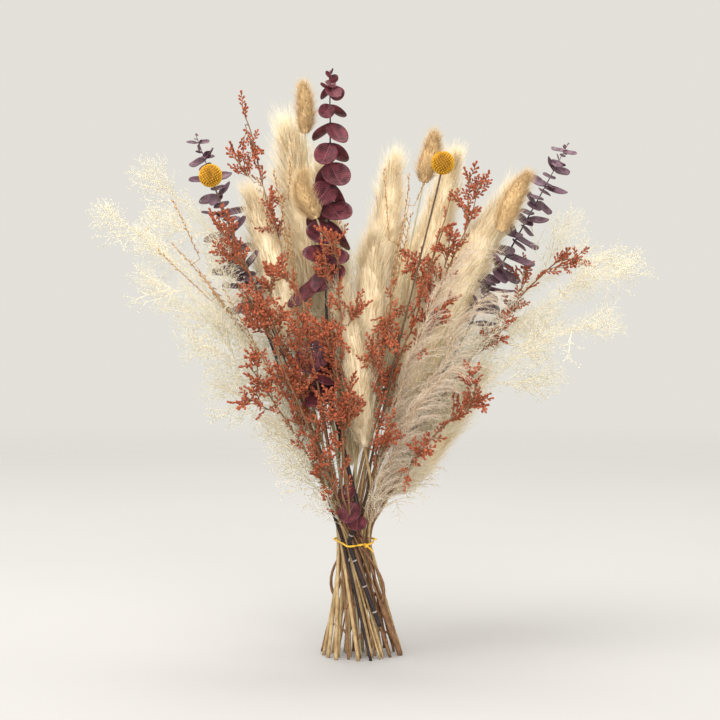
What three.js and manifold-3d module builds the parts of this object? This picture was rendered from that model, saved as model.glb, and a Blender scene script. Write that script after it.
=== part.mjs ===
// A bundle of dried pampas grass and its companions, tied once round the stems and standing on its cut ends.
// Millimetres, +Z up, origin on the surface under the middle of the bundle's box. The front faces -Y.
//
// Each stem is one solid with the head that grew on it. The stems cross in the tie as in a hand-tied
// spiral, so their cut ends spread to a ring of feet. A billy button's ball is a solid of its own.
import * as THREE from "three";
import { mergeVertices } from "three/addons/utils/BufferGeometryUtils.js";
import Module from "manifold-3d";

const wasm = await Module();
wasm.setup();
const { Manifold, Mesh } = wasm;

const radians = THREE.MathUtils.degToRad;
const lerp = THREE.MathUtils.lerp;
const at = (x, y, z) => new THREE.Vector3(x, y, z);
const UP = at(0, 0, 1);
const GOLDEN_ANGLE = radians(137.508);

// ---------------------------------------------------------------- driving dimensions, mm

const TIE_HEIGHT = 91; // middle of the tie above the surface
const TIE_GIRTH = 1.0; // radius of the raffia
const TIE_SLACK = 0.6; // gap from the raffia to the outermost stems
const LEAF_FACET = 3; // width of a flat on a large leaf's rim
const TIE_SAG = 3.5; // the tie hangs this much lower in front
const FOOT_SPREAD = 2.7; // the cut ends stand this many times further out than the stems do in the tie
const SPIRAL_BELOW = radians(62); // turn of the bundle from the tie down to the cut ends
const SPIRAL_ABOVE = radians(55); // turn of the bundle from the heads down to the tie
const STANCE = [8, 14]; // x and y of the ring of feet from the tie's middle, under the bundle's weight
const CLEARANCE = 0.45; // least gap between two stems
const HAIR_CLEARANCE = 0.5; // least gap from a hair, twig or leaf to another stem's solid

// What grew. girth is a stem's radius and beyond how far twigs or hairs reach past the stem's own end.
// profile gives the head's radius, as a share of the core's, at even steps from its neck to its tip.
// tuft is what stands out of the head's surface: how long, how far it leans out, and from which ring on.
// twigs stand along the head, one every so many millimetres, each with its own profile and tufts.
const KINDS = {
  pampas: {
    girth: 1.75,
    sides: 8,
    colour: 0xe6d3a4,
    beyond: 12,
    profile: [0.2, 0.55, 0.9, 1, 1, 0.97, 0.93, 0.87, 0.8, 0.72, 0.62, 0.5, 0.36, 0.2, 0],
    tuft: { length: 19, lean: radians(27), from: 2, room: 4.5 },
  },
  reed: {
    girth: 1.5,
    sides: 6,
    colour: 0xcdb996,
    beyond: 18,
    profile: [0.43, 0.7, 1, 1, 0.98, 0.96, 0.93, 0.9, 0.86, 0.82, 0.78, 0.73, 0.67, 0.6, 0.53, 0.45, 0.36, 0.2, 0],
    tuft: { length: 30, lean: radians(32), from: 1, room: 2.6 },
  },
  bunny: {
    girth: 0.8,
    sides: 6,
    colour: 0xcfae74,
    beyond: 5,
    profile: [0.16, 0.75, 1, 1, 0.9, 0.72, 0.45, 0],
    tuft: { length: 8, lean: radians(32), from: 1, room: 3 },
  },
  limonium: {
    girth: 1.35,
    sides: 4,
    colour: 0xa84a2a,
    beyond: 10,
    profile: [1.3, 1.1, 0.9, 0.9, 1.8, 1.9, 0.4],
    tuft: { length: 5, lean: radians(52), from: 4, room: 2 },
    twigs: {
      every: 28,
      to: 0.86,
      taper: 0.5,
      length: 46,
      lean: radians(30),
      bend: radians(-8),
      shares: [0, 0.38, 0.54, 0.7, 0.86, 1],
      girths: [0.75, 0.65, 2, 2.2, 1.7, 0.3],
      sides: 3,
      tuft: { length: 5, lean: radians(52), from: 2, room: 2 },
    },
  },
  airy: {
    girth: 0.8,
    sides: 4,
    colour: 0xe4dcba,
    beyond: 24,
    profile: [0.75, 0.7, 0.65, 0.6, 0.5],
    twigs: {
      every: 34,
      to: 0.94,
      taper: 0.35,
      length: 78,
      lean: radians(24),
      bend: radians(12),
      shares: [0, 0.38, 0.42, 0.46, 0.7, 0.74, 0.78, 1],
      girths: [0.55, 0.55, 0.9, 0.55, 0.5, 0.9, 0.5, 0.3],
      sides: 3,
      tuft: { length: 12, lean: radians(38), from: 2, every: 3, room: 0.9 },
    },
  },
  spike: {
    girth: 0.9,
    sides: 4,
    colour: 0xb08a55,
    beyond: 8,
    profile: [0.8, 0.8, 0.9, 1.3, 1.2, 1.3, 1.1, 0.3],
    tuft: { length: 3.5, lean: radians(35), from: 3, room: 0.8 },
    twigs: {
      every: 37,
      to: 0.7,
      taper: 0.4,
      length: 92,
      lean: radians(17),
      bend: radians(-4),
      shares: [0, 0.35, 0.45, 0.56, 0.67, 0.78, 0.89, 1],
      girths: [0.5, 0.5, 1.1, 1, 1.1, 1, 0.8, 0.3],
      sides: 3,
      tuft: { length: 3.5, lean: radians(35), from: 2, room: 0.8 },
    },
  },
  eucalyptus: { girth: 1.6, sides: 4, colour: 0x4f2630, beyond: 1, profile: [1, 0.9, 0.75, 0.55, 0.35] },
  billy: { girth: 0.9, sides: 4, colour: 0x5a4a3a, beyond: 0, profile: [0.9, 0.9] },
};

// Each stem's tip, measured from the tie's middle across (x) and back (y), and up from the surface (z).
// head is the head's length along the stem, core the radius of a plume's dense middle, droop how far
// the head bends outwards, foot the height of a cut end that stops above the surface, and tied the side of
// the tie that it passes. leaf is the length of its largest leaf, breadth a leaf's width as a share of its
// length, pitch the way from one pair of leaves to the next, hang how far a leaf leans from the stem, and
// twist how far a pair is turned from the front, to one side and the other by turns.
const BROAD_LEAVED = {
  girth: 2.5,
  foot: 26,
  leaf: 22,
  breadth: 1.15,
  pitch: 15.5,
  hang: radians(130),
  twist: radians(28),
};
const STEMS = [
  { name: "pampas_left", kind: "pampas", tip: [-76, 25, 369], head: 130, core: 9.5 },
  { name: "pampas_left_tall", kind: "pampas", tip: [-52, 48, 413], head: 150, core: 9.5 },
  { name: "pampas_inner_left", kind: "pampas", tip: [-32, 18, 385], head: 160, core: 9 },
  { name: "pampas_front", kind: "pampas", tip: [-14, -32, 288], head: 120, core: 7.5 },
  { name: "pampas_middle", kind: "pampas", tip: [17, 8, 335], head: 140, core: 9.5 },
  { name: "pampas_tall", kind: "pampas", tip: [33, 38, 392], head: 160, core: 9 },
  { name: "pampas_right_tall", kind: "pampas", tip: [79, 58, 384], head: 130, core: 7.5 },
  { name: "pampas_right", kind: "pampas", tip: [132, 12, 364], head: 205, core: 13, droop: 0.1 },
  { name: "pampas_low_right", kind: "pampas", tip: [100, 12, 222], head: 115, core: 9.5, droop: 0.15 },
  { name: "pampas_back_left", kind: "pampas", tip: [-52, 84, 335], head: 150, core: 9.5, droop: 0.1 },
  { name: "pampas_back_right", kind: "pampas", tip: [64, 88, 345], head: 150, core: 9.5, droop: 0.1 },
  { name: "pampas_back_low", kind: "pampas", tip: [4, 92, 270], head: 130, core: 9, droop: 0.2 },

  { name: "reed_right", kind: "reed", tip: [108, -52, 286], head: 185, core: 3.5, droop: 0.25 },
  { name: "reed_right_tall", kind: "reed", tip: [92, -34, 328], head: 170, core: 3, droop: 0.15 },
  { name: "reed_right_low", kind: "reed", tip: [84, -74, 236], head: 140, core: 3.5, droop: 0.35 },
  { name: "reed_back_left", kind: "reed", tip: [-88, 78, 285], head: 150, core: 3.5, droop: 0.3 },

  { name: "airy_left_far", kind: "airy", tip: [-180, 8, 336], head: 200, droop: 0.35 },
  { name: "airy_left_high", kind: "airy", tip: [-146, 40, 366], head: 190, droop: 0.25 },
  { name: "airy_left_front", kind: "airy", tip: [-146, -32, 296], head: 180, droop: 0.35 },
  { name: "airy_left_low", kind: "airy", tip: [-108, 6, 236], head: 140, droop: 0.3 },
  { name: "airy_right_far", kind: "airy", tip: [218, 14, 304], head: 245, droop: 0.5 },
  { name: "airy_right_high", kind: "airy", tip: [198, 50, 322], head: 225, droop: 0.45 },
  { name: "airy_right_front", kind: "airy", tip: [184, -22, 262], head: 210, droop: 0.45 },
  { name: "airy_back", kind: "airy", tip: [-10, 128, 330], head: 170, droop: 0.3 },

  { name: "limonium_left_long", kind: "limonium", tip: [-103, -42, 346], head: 170, droop: 0.1 },
  { name: "limonium_left_low", kind: "limonium", tip: [-86, -56, 238], head: 125, droop: 0.1 },
  { name: "limonium_left_tall", kind: "limonium", tip: [-91, 30, 434], head: 130 },
  { name: "limonium_left_front", kind: "limonium", tip: [-78, -62, 288], head: 140 },
  { name: "limonium_left_inner", kind: "limonium", tip: [-46, -56, 305], head: 135 },
  { name: "limonium_front", kind: "limonium", tip: [-20, -62, 292], head: 125 },
  { name: "limonium_middle", kind: "limonium", tip: [-12, -38, 336], head: 165 },
  { name: "limonium_middle_right", kind: "limonium", tip: [27, -42, 300], head: 150 },
  { name: "limonium_right", kind: "limonium", tip: [75, -8, 360], head: 190 },
  { name: "limonium_right_tall", kind: "limonium", tip: [101, 8, 374], head: 150 },
  { name: "limonium_right_far", kind: "limonium", tip: [168, 28, 314], head: 120, droop: 0.2 },
  { name: "limonium_right_low", kind: "limonium", tip: [98, -66, 208], head: 90, droop: 0.3 },
  { name: "limonium_back_left", kind: "limonium", tip: [-20, 84, 340], head: 140 },
  { name: "limonium_back_right", kind: "limonium", tip: [98, 74, 290], head: 140, droop: 0.1 },

  { name: "eucalyptus_middle", kind: "eucalyptus", tip: [-15, -8, 446], head: 325, tied: [-5, -14], ...BROAD_LEAVED },
  { name: "eucalyptus_left", kind: "eucalyptus", tip: [-122, 26, 402], head: 150 },
  { name: "eucalyptus_right", kind: "eucalyptus", tip: [165, 34, 396], head: 170 },

  { name: "billy_button_left_stem", kind: "billy", tip: [-104, -28, 359], head: 9 },
  { name: "billy_button_right_stem", kind: "billy", tip: [64, -30, 368], head: 9 },

  { name: "bunny_tail_tall", kind: "bunny", tip: [-40, 14, 441], head: 38, core: 5 },
  { name: "bunny_tail_left", kind: "bunny", tip: [-41, -34, 371], head: 36, core: 5.5 },
  { name: "bunny_tail_middle", kind: "bunny", tip: [61, 16, 405], head: 38, core: 6 },
  { name: "bunny_tail_right", kind: "bunny", tip: [131, -28, 374], head: 48, core: 6 },

  { name: "spike_left", kind: "spike", tip: [-62, -12, 380], head: 150 },
  { name: "spike_left_low", kind: "spike", tip: [-142, -22, 322], head: 150, droop: 0.2 },
  { name: "spike_right", kind: "spike", tip: [43, 4, 378], head: 150 },
];

// ---------------------------------------------------------------- small tools

// A repeatable source of numbers from 0 to 1.
function seeded(seed) {
  let state = seed >>> 0;
  return () => {
    state = (state + 0x6d2b79f5) >>> 0;
    let t = Math.imul(state ^ (state >>> 15), 1 | state);
    t = (t + Math.imul(t ^ (t >>> 7), 61 | t)) ^ t;
    return ((t ^ (t >>> 14)) >>> 0) / 4294967296;
  };
}

// A closed solid from a closed three.js geometry.
function solidOf(geometry) {
  geometry.deleteAttribute("normal");
  geometry.deleteAttribute("uv");
  const merged = mergeVertices(geometry, 2e-3);
  const corners = merged.index.array;
  const kept = [];
  for (let i = 0; i < corners.length; i += 3) {
    const [a, b, c] = corners.slice(i, i + 3);
    if (a !== b && b !== c && c !== a) kept.push(a, b, c);
  }
  return new Manifold(
    new Mesh({ numProp: 3, vertProperties: merged.attributes.position.array, triVerts: new Uint32Array(kept) }),
  );
}

// The directions along, beside and behind a line of points, at each point. With cutFlat the first is upright.
function framesAlong(points, cutFlat = false) {
  const last = points.length - 1;
  const run = points[last].clone().sub(points[0]).normalize();
  const across = Math.abs(run.y) > 0.8 ? at(1, 0, 0) : at(0, 1, 0);
  return points.map((_, k) => {
    const ahead = points[Math.min(k + 1, last)].clone().sub(points[Math.max(k - 1, 0)]).normalize();
    if (cutFlat && k === 0) ahead.copy(UP);
    const side = across.clone().cross(ahead).normalize();
    return { ahead, side, behind: side.clone().cross(ahead) };
  });
}
const outwardsAt = ({ side, behind }, turn) =>
  side.clone().multiplyScalar(Math.sin(turn)).addScaledVector(behind, Math.cos(turn));
const leanedOut = (ahead, outwards, lean) =>
  ahead.clone().multiplyScalar(Math.cos(lean)).addScaledVector(outwards, Math.sin(lean));

// Points spread over a smooth curve through a line of points, at given shares of its length.
function spread(points, shares) {
  const curve = new THREE.CatmullRomCurve3(points, false, "centripetal");
  return shares.map((share) => curve.getPointAt(share));
}

// A closed round body bent along a line of points, with a radius at each. raised holds, for a ring and a
// column of its surface, how far that point is drawn out and which way.
function limb(points, girths, sides, { cutFlat = false, raised = new Map() } = {}) {
  const last = points.length - 1;
  const form = new THREE.CylinderGeometry(1, 1, 1, sides, last);
  const frames = framesAlong(points, cutFlat);
  const spots = form.attributes.position;
  for (let i = 0; i < spots.count; i++) {
    const [x, z] = [spots.getX(i), spots.getZ(i)];
    const k = Math.round((spots.getY(i) + 0.5) * last);
    const { side, behind } = frames[k];
    const spot = points[k].clone().addScaledVector(side, x * girths[k]).addScaledVector(behind, z * girths[k]);
    const column = (Math.round((Math.atan2(x, z) / (2 * Math.PI)) * sides) + sides) % sides;
    if (Math.hypot(x, z) > 0.5 && raised.has(`${k},${column}`)) spot.add(raised.get(`${k},${column}`));
    spots.setXYZ(i, spot.x, spot.y, spot.z);
  }
  return solidOf(form);
}

// A round cupped blade, base on its stalk: ahead runs from base to tip, face is the way its upper side looks.
function blade(base, ahead, face, length, width, thickness, cup) {
  const rim = Math.max(6, Math.round(width / LEAF_FACET));
  const form = new THREE.CylinderGeometry(1, 1, 1, rim, 1);
  const beside = face.clone().cross(ahead);
  const middle = base.clone().addScaledVector(ahead, length / 2);
  const spots = form.attributes.position;
  for (let i = 0; i < spots.count; i++) {
    const [x, y, z] = [spots.getX(i), spots.getY(i), spots.getZ(i)];
    const spot = middle.clone();
    spot.addScaledVector(beside, (x * width) / 2);
    spot.addScaledVector(ahead, (z * length) / 2);
    spot.addScaledVector(face, y * thickness + cup * (x * x + z * z));
    spots.setXYZ(i, spot.x, spot.y, spot.z);
  }
  return solidOf(form);
}

// The one body that pieces make together: a scrap that touches nothing and a sealed hollow are left out.
const largest = (solid) => solid.decompose().reduce((most, body) => (body.volume() > most.volume() ? body : most));
const fuse = (pieces) => largest(solidOf(geometryOf(largest(Manifold.union(pieces).simplify(0.08)))));

function geometryOf(solid) {
  const { vertProperties, triVerts } = solid.getMesh();
  const geometry = new THREE.BufferGeometry();
  geometry.setAttribute("position", new THREE.BufferAttribute(vertProperties, 3));
  return geometry.setIndex(new THREE.BufferAttribute(triVerts, 1));
}

// ---------------------------------------------------------------- who stands where

// Closest points of segments a-b and c-d, as shares along each.
function closest(a, b, c, d) {
  const u = b.clone().sub(a);
  const v = d.clone().sub(c);
  const w = a.clone().sub(c);
  const [uu, uv, vv, uw, vw] = [u.dot(u), u.dot(v), v.dot(v), u.dot(w), v.dot(w)];
  const clamp = (x) => Math.min(1, Math.max(0, x));
  const twist = uu * vv - uv * uv;
  let s = twist > 1e-9 ? clamp((uv * vw - vv * uw) / twist) : 0;
  const t = clamp((uv * s + vw) / vv);
  s = clamp((uv * t - uw) / uu);
  return [s, t];
}

// Packs the stems into the tie: each circle starts on the side its head leans to, turned by the spiral.
function packInTie(stems) {
  const reach = Math.max(...stems.map((s) => Math.hypot(s.tip[0], s.tip[1]) / (s.tip[2] - TIE_HEIGHT)));
  const tight = 13;
  const spots = stems.map((s) => {
    if (s.tied) return [...s.tied];
    const lean = Math.hypot(s.tip[0], s.tip[1]) / (s.tip[2] - TIE_HEIGHT) / reach;
    const azimuth = Math.atan2(s.tip[1], s.tip[0]) + SPIRAL_ABOVE;
    return [tight * Math.sqrt(lean) * Math.cos(azimuth), tight * Math.sqrt(lean) * Math.sin(azimuth)];
  });
  const rounds = 600;
  for (let round = 0; round < rounds; round++) {
    const pull = round < rounds - 60 ? 0.985 : 1;
    for (const spot of spots) {
      spot[0] *= pull;
      spot[1] *= pull;
    }
    for (let pass = 0; pass < 4; pass++)
      for (let i = 0; i < spots.length; i++)
        for (let j = 0; j < i; j++) {
          const [dx, dy] = [spots[i][0] - spots[j][0], spots[i][1] - spots[j][1]];
          const apart = Math.hypot(dx, dy) || 1e-6;
          const lack = (stems[i].girth + stems[j].girth) * 1.05 + CLEARANCE - apart;
          if (lack <= 0) continue;
          for (const [spot, way] of [[spots[i], 0.5], [spots[j], -0.5]]) {
            spot[0] += (way * lack * dx) / apart;
            spot[1] += (way * lack * dy) / apart;
          }
        }
  }
  return spots;
}

// A stem's line before it meets its neighbours: cut end, tie, then one smooth curve to the tip.
const BELOW = [0, 1]; // shares of the way from the cut end to the tie
const NECK = [0.07, 0.22, 0.52, 1]; // shares of the way from the tie to the head
const HEAD = [0.1, 0.22, 0.4, 0.6, 0.8, 1]; // shares of the head
function restingLine(stem, [x, y]) {
  const waist = at(x, y, TIE_HEIGHT);
  const turn = FOOT_SPREAD * Math.cos(SPIRAL_BELOW);
  const swing = FOOT_SPREAD * Math.sin(SPIRAL_BELOW);
  const foot = at(turn * x - swing * y + STANCE[0], swing * x + turn * y + STANCE[1], 0);
  const cut = foot.clone().lerp(waist, stem.foot / TIE_HEIGHT);
  const tip = at(...stem.tip);
  const outwards = at(tip.x, tip.y, 0).normalize();
  const leaving = waist.clone().sub(foot).normalize().lerp(tip.clone().sub(waist).normalize(), 0.35).normalize();
  const arriving = tip.clone().sub(waist).normalize().addScaledVector(outwards, stem.droop);
  arriving.addScaledVector(UP, -0.5 * stem.droop).normalize();
  tip.addScaledVector(arriving, -KINDS[stem.kind].beyond);
  const reach = tip.distanceTo(waist) / 3;
  const rise = new THREE.CubicBezierCurve3(
    waist,
    waist.clone().addScaledVector(leaving, 0.7 * reach),
    tip.clone().addScaledVector(arriving, -1.1 * reach),
    tip,
  );
  const neck = 1 - stem.head / rise.getLength();
  const shares = [...NECK.map((n) => n * neck), ...HEAD.map((h) => neck + h * (1 - neck))];
  return [...BELOW.map((b) => cut.clone().lerp(waist, b)), ...shares.map((share) => rise.getPointAt(share))];
}

const TIED = BELOW.length - 1; // the point of each line in the tie
const NECK_POINT = TIED + NECK.length; // the point where the head begins

// Radius of a stem's solid near a point of its line: in the head, the widest between its neighbours.
function widestNear(stem, k) {
  if (k < NECK_POINT) return stem.girth;
  const { profile } = KINDS[stem.kind];
  const shares = [0, 0, ...HEAD, 1];
  const [from, to] = [shares[k - NECK_POINT], shares[k - NECK_POINT + 2]].map((s) => s * (profile.length - 1));
  return stem.core * Math.max(...profile.slice(Math.floor(0.3 * from + 0.7 * to) - 1, Math.ceil(to)), 0.3);
}

// Room that a stem keeps free round its line: its own radius, and more where its head grows.
const BALL = 8.8; // a billy button's radius over its florets
const FLORET_BASE = 0.9; // radius between the florets, as a share of the ball's
function roomOf(stem) {
  const extra = { limonium: 2.5, eucalyptus: 0.4 * stem.leaf, airy: 1, spike: 1, pampas: 1.5, reed: 2, bunny: 1, billy: 0 };
  return stem.line.map((_, k) => {
    if (k < NECK_POINT) return stem.girth;
    if (stem.kind === "billy") return k > NECK_POINT + 2 ? BALL + 0.5 : stem.girth;
    return Math.max(stem.girth, widestNear(stem, k)) + extra[stem.kind];
  });
}

// Settles the stems against each other: touching lines push apart, each stays smooth and near its own place.
function settle(stems) {
  const rounds = 400;
  const stay = 0.015;
  const smooth = 0.22;
  for (const stem of stems) stem.rest = stem.line.map((p) => p.clone());
  for (let round = 0; round < rounds; round++) {
    for (let i = 0; i < stems.length; i++)
      for (let j = 0; j < i; j++) pushApart(stems[i], stems[j]);
    if (round > rounds - 150) continue;
    for (const stem of stems) {
      const shift = stem.line.map((p, k) => p.clone().sub(stem.rest[k]));
      stem.line.forEach((p, k) => {
        const before = shift[Math.max(0, k - 1)];
        const after = shift[Math.min(shift.length - 1, k + 1)];
        const even = before.clone().add(after).multiplyScalar(0.5);
        const eased = shift[k].clone().lerp(even, k === TIED ? 0 : smooth).multiplyScalar(1 - stay);
        p.copy(stem.rest[k]).add(eased);
      });
    }
  }
}

function pushApart(one, other) {
  for (let i = 0; i + 1 < one.line.length; i++)
    for (let j = 0; j + 1 < other.line.length; j++) {
      const [a, b, c, d] = [one.line[i], one.line[i + 1], other.line[j], other.line[j + 1]];
      if (Math.min(a.z, b.z) > Math.max(c.z, d.z) + 25 || Math.min(c.z, d.z) > Math.max(a.z, b.z) + 25) continue;
      const [s, t] = closest(a, b, c, d);
      const gap = a.clone().lerp(b, s).sub(c.clone().lerp(d, t));
      const apart = gap.length() || 1e-6;
      const need = lerp(one.room[i], one.room[i + 1], s) + lerp(other.room[j], other.room[j + 1], t);
      const lack = need + CLEARANCE - apart;
      if (lack <= 0) continue;
      const push = gap.multiplyScalar((0.5 * lack) / apart);
      nudge(one, i, push, 1 - s);
      nudge(one, i + 1, push, s);
      nudge(other, j, push, t - 1);
      nudge(other, j + 1, push, -t);
    }
}

// Moves one point of a line. Cut ends stay level, and in the tie a stem gives way least.
function nudge(stem, k, push, share) {
  const lift = k === 0 || k === TIED ? 0 : push.z;
  stem.line[k].add(at(push.x, push.y, lift).multiplyScalar(share * (k === TIED ? 0.5 : 1)));
}

// ---------------------------------------------------------------- free space between the heads

// Everything already placed, filed by cubes of space, so that what grows later can be kept clear of it.
const CUBE = 14;
const REACH = 8;
const filed = new Map();
const cubeOf = (x) => Math.floor(x / CUBE);
const keyOf = (x, y, z) => `${x},${y},${z}`;

function claim(owner, obstacle) {
  const thing = { owner, ...obstacle };
  const box = new THREE.Box3().setFromPoints(obstacle.corners).expandByScalar(obstacle.girth + REACH);
  for (let x = cubeOf(box.min.x); x <= cubeOf(box.max.x); x++)
    for (let y = cubeOf(box.min.y); y <= cubeOf(box.max.y); y++)
      for (let z = cubeOf(box.min.z); z <= cubeOf(box.max.z); z++) {
        const key = keyOf(x, y, z);
        if (!filed.has(key)) filed.set(key, []);
        filed.get(key).push(thing);
      }
}

// A stretch of round limb, from a with radius ra to b with radius rb.
function stretch(a, b, ra, rb) {
  const run = b.clone().sub(a);
  const distance = (p) => {
    const share = Math.min(1, Math.max(0, p.clone().sub(a).dot(run) / run.lengthSq()));
    return p.distanceTo(a.clone().addScaledVector(run, share)) - lerp(ra, rb, share);
  };
  return { corners: [a, b], girth: Math.max(ra, rb), distance };
}

// A round flat thing such as a leaf.
function disc(middle, face, radius, thickness) {
  const distance = (p) => {
    const off = p.clone().sub(middle);
    const height = off.dot(face);
    const out = Math.sqrt(Math.max(0, off.lengthSq() - height * height));
    return Math.hypot(Math.max(0, out - radius), Math.max(0, Math.abs(height) - thickness));
  };
  return { corners: [middle], girth: radius, distance };
}

// Balls along a line of points, standing for the space that it takes.
function ballsAlong(points, girths) {
  const balls = [];
  for (let k = 0; k + 1 < points.length; k++) {
    const count = Math.ceil(points[k].distanceTo(points[k + 1]) / 1.5);
    for (let n = 1; n <= count; n++)
      balls.push([points[k].clone().lerp(points[k + 1], n / count), lerp(girths[k], girths[k + 1], n / count)]);
  }
  return balls;
}

function isFree(owner, balls, gap = HAIR_CLEARANCE) {
  return balls.every(([p, radius]) => {
    if (p.z < TIE_HEIGHT + 8 + radius) return false;
    const near = filed.get(keyOf(cubeOf(p.x), cubeOf(p.y), cubeOf(p.z))) ?? [];
    return near.every((thing) => thing.owner === owner || thing.distance(p) > radius + gap);
  });
}

// Grows a twig or hair into free space: grow(turn, share) gives its line, turned and shortened as asked.
const TURNS = [0, 18, -18, 40, -40, 70, -70].map(radians);
function growFree(owner, girths, grow) {
  for (const share of [1, 0.75, 0.5])
    for (const turn of TURNS) {
      const line = grow(turn, share);
      if (!isFree(owner, ballsAlong(line, girths))) continue;
      for (let k = 0; k + 1 < line.length; k++)
        claim(owner, stretch(line[k], line[k + 1], girths[k], girths[k + 1]));
      return line;
    }
  return null;
}

// Whether a solid keeps its distance from every solid that is already placed.
const placed = [];
const LEAST_GAP = 0.2;
const isClear = (name, solid) =>
  placed.every((other) => other.name === name || other.solid.minGap(solid, LEAST_GAP) >= LEAST_GAP);

// ---------------------------------------------------------------- heads

// The tufts that stand out of a limb: every other place of its surface, as on a chessboard, where it is free.
function tuftsOn(owner, points, girths, sides, tuft, random) {
  const raised = new Map();
  const frames = framesAlong(points);
  for (let k = tuft.from; k < points.length - 1; k++)
    for (let column = 0; column < sides; column++) {
      const size = tuft.length * (0.75 + 0.5 * random());
      if (tuft.every ? (k - tuft.from) % tuft.every || column !== k % sides : (k + column) % 2) continue;
      const outwards = outwardsAt(frames[k], (2 * Math.PI * column) / sides);
      const root = points[k].clone().addScaledVector(outwards, girths[k]);
      const reach = leanedOut(frames[k].ahead, outwards, tuft.lean).multiplyScalar(size);
      for (const cut of [1, 0.65, 0.35]) {
        const end = root.clone().addScaledVector(reach, cut);
        const sides = [root, points[k - 1], points[k + 1]].map((foot) => [foot, end]);
        if (!sides.every((side) => isFree(owner, ballsAlong(side, [tuft.room, 0.2])))) continue;
        if (!isClear(owner, limb([root, end], [1.2 * tuft.room, 0.05], 4))) continue;
        for (const side of sides) claim(owner, stretch(...side, tuft.room, 0.2));
        raised.set(`${k},${column}`, reach.clone().multiplyScalar(cut));
        break;
      }
    }
  return raised;
}

// A stem with its head: the line up to the neck, then the head's own rings.
function finish(stem) {
  const { profile } = KINDS[stem.kind];
  const steps = profile.length - 1;
  const head = spread(stem.line.slice(NECK_POINT), profile.map((_, n) => n / steps));
  stem.points = [...stem.line.slice(0, NECK_POINT), ...head];
  stem.girths = stem.points.map((_, k) => (k < NECK_POINT ? stem.girth : stem.core * profile[k - NECK_POINT]));
}

// The stem's solid, with its head's tufts shortened until they keep clear of what is already placed.
function trunkOf(stem) {
  const { sides, tuft } = KINDS[stem.kind];
  const { points, girths } = stem;
  if (!tuft) return limb(points, girths, sides, { cutFlat: true });
  const from = tuft.from + NECK_POINT;
  for (const cut of [1, 0.8, 0.6, 0.45, 0.3, 0.2]) {
    const shorter = { ...tuft, from, length: cut * tuft.length };
    const raised = tuftsOn(stem.name, points, girths, sides, shorter, seeded(stem.seed));
    const trunk = limb(points, girths, sides, { cutFlat: true, raised });
    if (isClear(stem.name, trunk)) return trunk;
  }
  return limb(points, girths, sides, { cutFlat: true });
}

// A place on a stem's head: share 0 is the neck and 1 the tip, azimuth turns round the stem.
function placeOn(stem, share, azimuth) {
  const points = stem.line.slice(NECK_POINT);
  const [middle, next] = spread(points, [share * 0.98, share * 0.98 + 0.02]);
  const frame = framesAlong([middle, next])[0];
  return { middle, ahead: frame.ahead, outwards: outwardsAt(frame, azimuth) };
}

// A twig's line: it leaves its place at an angle and bends by a further angle half way.
function leaving(place, lean, bend, length) {
  const half = place.middle.clone().addScaledVector(leanedOut(place.ahead, place.outwards, lean), length / 2);
  return [
    place.middle,
    half,
    half.clone().addScaledVector(leanedOut(place.ahead, place.outwards, lean + bend), length / 2),
  ];
}

// Twigs along a head at the golden angle, shorter towards its tip, each with tufts of its own.
function twigsOf(stem) {
  const { twigs } = KINDS[stem.kind];
  if (!twigs) return [];
  const random = seeded(stem.seed + 1000);
  const count = Math.max(3, Math.round(stem.head / twigs.every));
  const grown = [];
  for (let n = 0; n < count; n++) {
    const share = (twigs.to * n) / (count - 1);
    const size = twigs.length * (0.8 + 0.4 * random()) * (1 - twigs.taper * share);
    const azimuth = n * GOLDEN_ANGLE + random();
    const room = twigs.girths.map((girth) => girth + 0.3);
    const points = growFree(stem.name, room, (turn, cut) =>
      spread(leaving(placeOn(stem, share, azimuth + turn), twigs.lean, twigs.bend, size * cut), twigs.shares),
    );
    if (!points) continue;
    const raised = tuftsOn(stem.name, points, twigs.girths, twigs.sides, twigs.tuft, random);
    grown.push(limb(points, twigs.girths, twigs.sides, { raised }));
  }
  return grown.filter((piece) => isClear(stem.name, piece));
}

// Round leaves in pairs, turned to one side and the other of the front by turns.
function leavesOf(stem) {
  if (stem.kind !== "eucalyptus") return [];
  const pairs = Math.round(stem.head / stem.pitch);
  const random = seeded(stem.seed);
  const grown = [];
  for (let pair = 0; pair < pairs; pair++) {
    const share = (pair + 0.7) / pairs;
    const size = stem.leaf * (1 - 0.55 * share ** 4);
    const turn = (pair % 2 ? -stem.twist : stem.twist) + 0.3 * (random() - 0.5);
    for (const opposite of [0, Math.PI]) grown.push(...leaf(stem, share, opposite + turn, size));
  }
  return grown.filter((piece) => isClear(stem.name, piece));
}

function leaf(stem, share, azimuth, size) {
  const width = size * stem.breadth;
  const cup = -0.07 * size;
  const lean = stem.hang;
  for (const turn of TURNS) {
    const { middle, ahead: up, outwards } = placeOn(stem, share, azimuth + turn);
    middle.addScaledVector(outwards, 0.35 * stem.core * lerp(1, 0.35, share));
    const ahead = leanedOut(up, outwards, lean);
    const face = up.clone().multiplyScalar(Math.sin(lean)).addScaledVector(outwards, -Math.cos(lean));
    const centre = middle.clone().addScaledVector(ahead, size / 2);
    const beside = face.clone().cross(ahead);
    const balls = [];
    for (let spoke = 0; spoke < 24; spoke++)
      for (const out of [0.2, 0.4, 0.6, 0.8, 1]) {
        const p = centre.clone().addScaledVector(ahead, (out * size * Math.cos(radians(15 * spoke))) / 2);
        p.addScaledVector(face, cup * out * out);
        balls.push([p.addScaledVector(beside, (out * width * Math.sin(radians(15 * spoke))) / 2), 1]);
      }
    if (!isFree(stem.name, balls, 0.6)) continue;
    claim(stem.name, disc(centre.addScaledVector(face, cup / 2), face, size / 2, cup / 2 + 0.9));
    return [blade(middle, ahead, face, size, width, 0.9, cup)];
  }
  return [];
}

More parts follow.
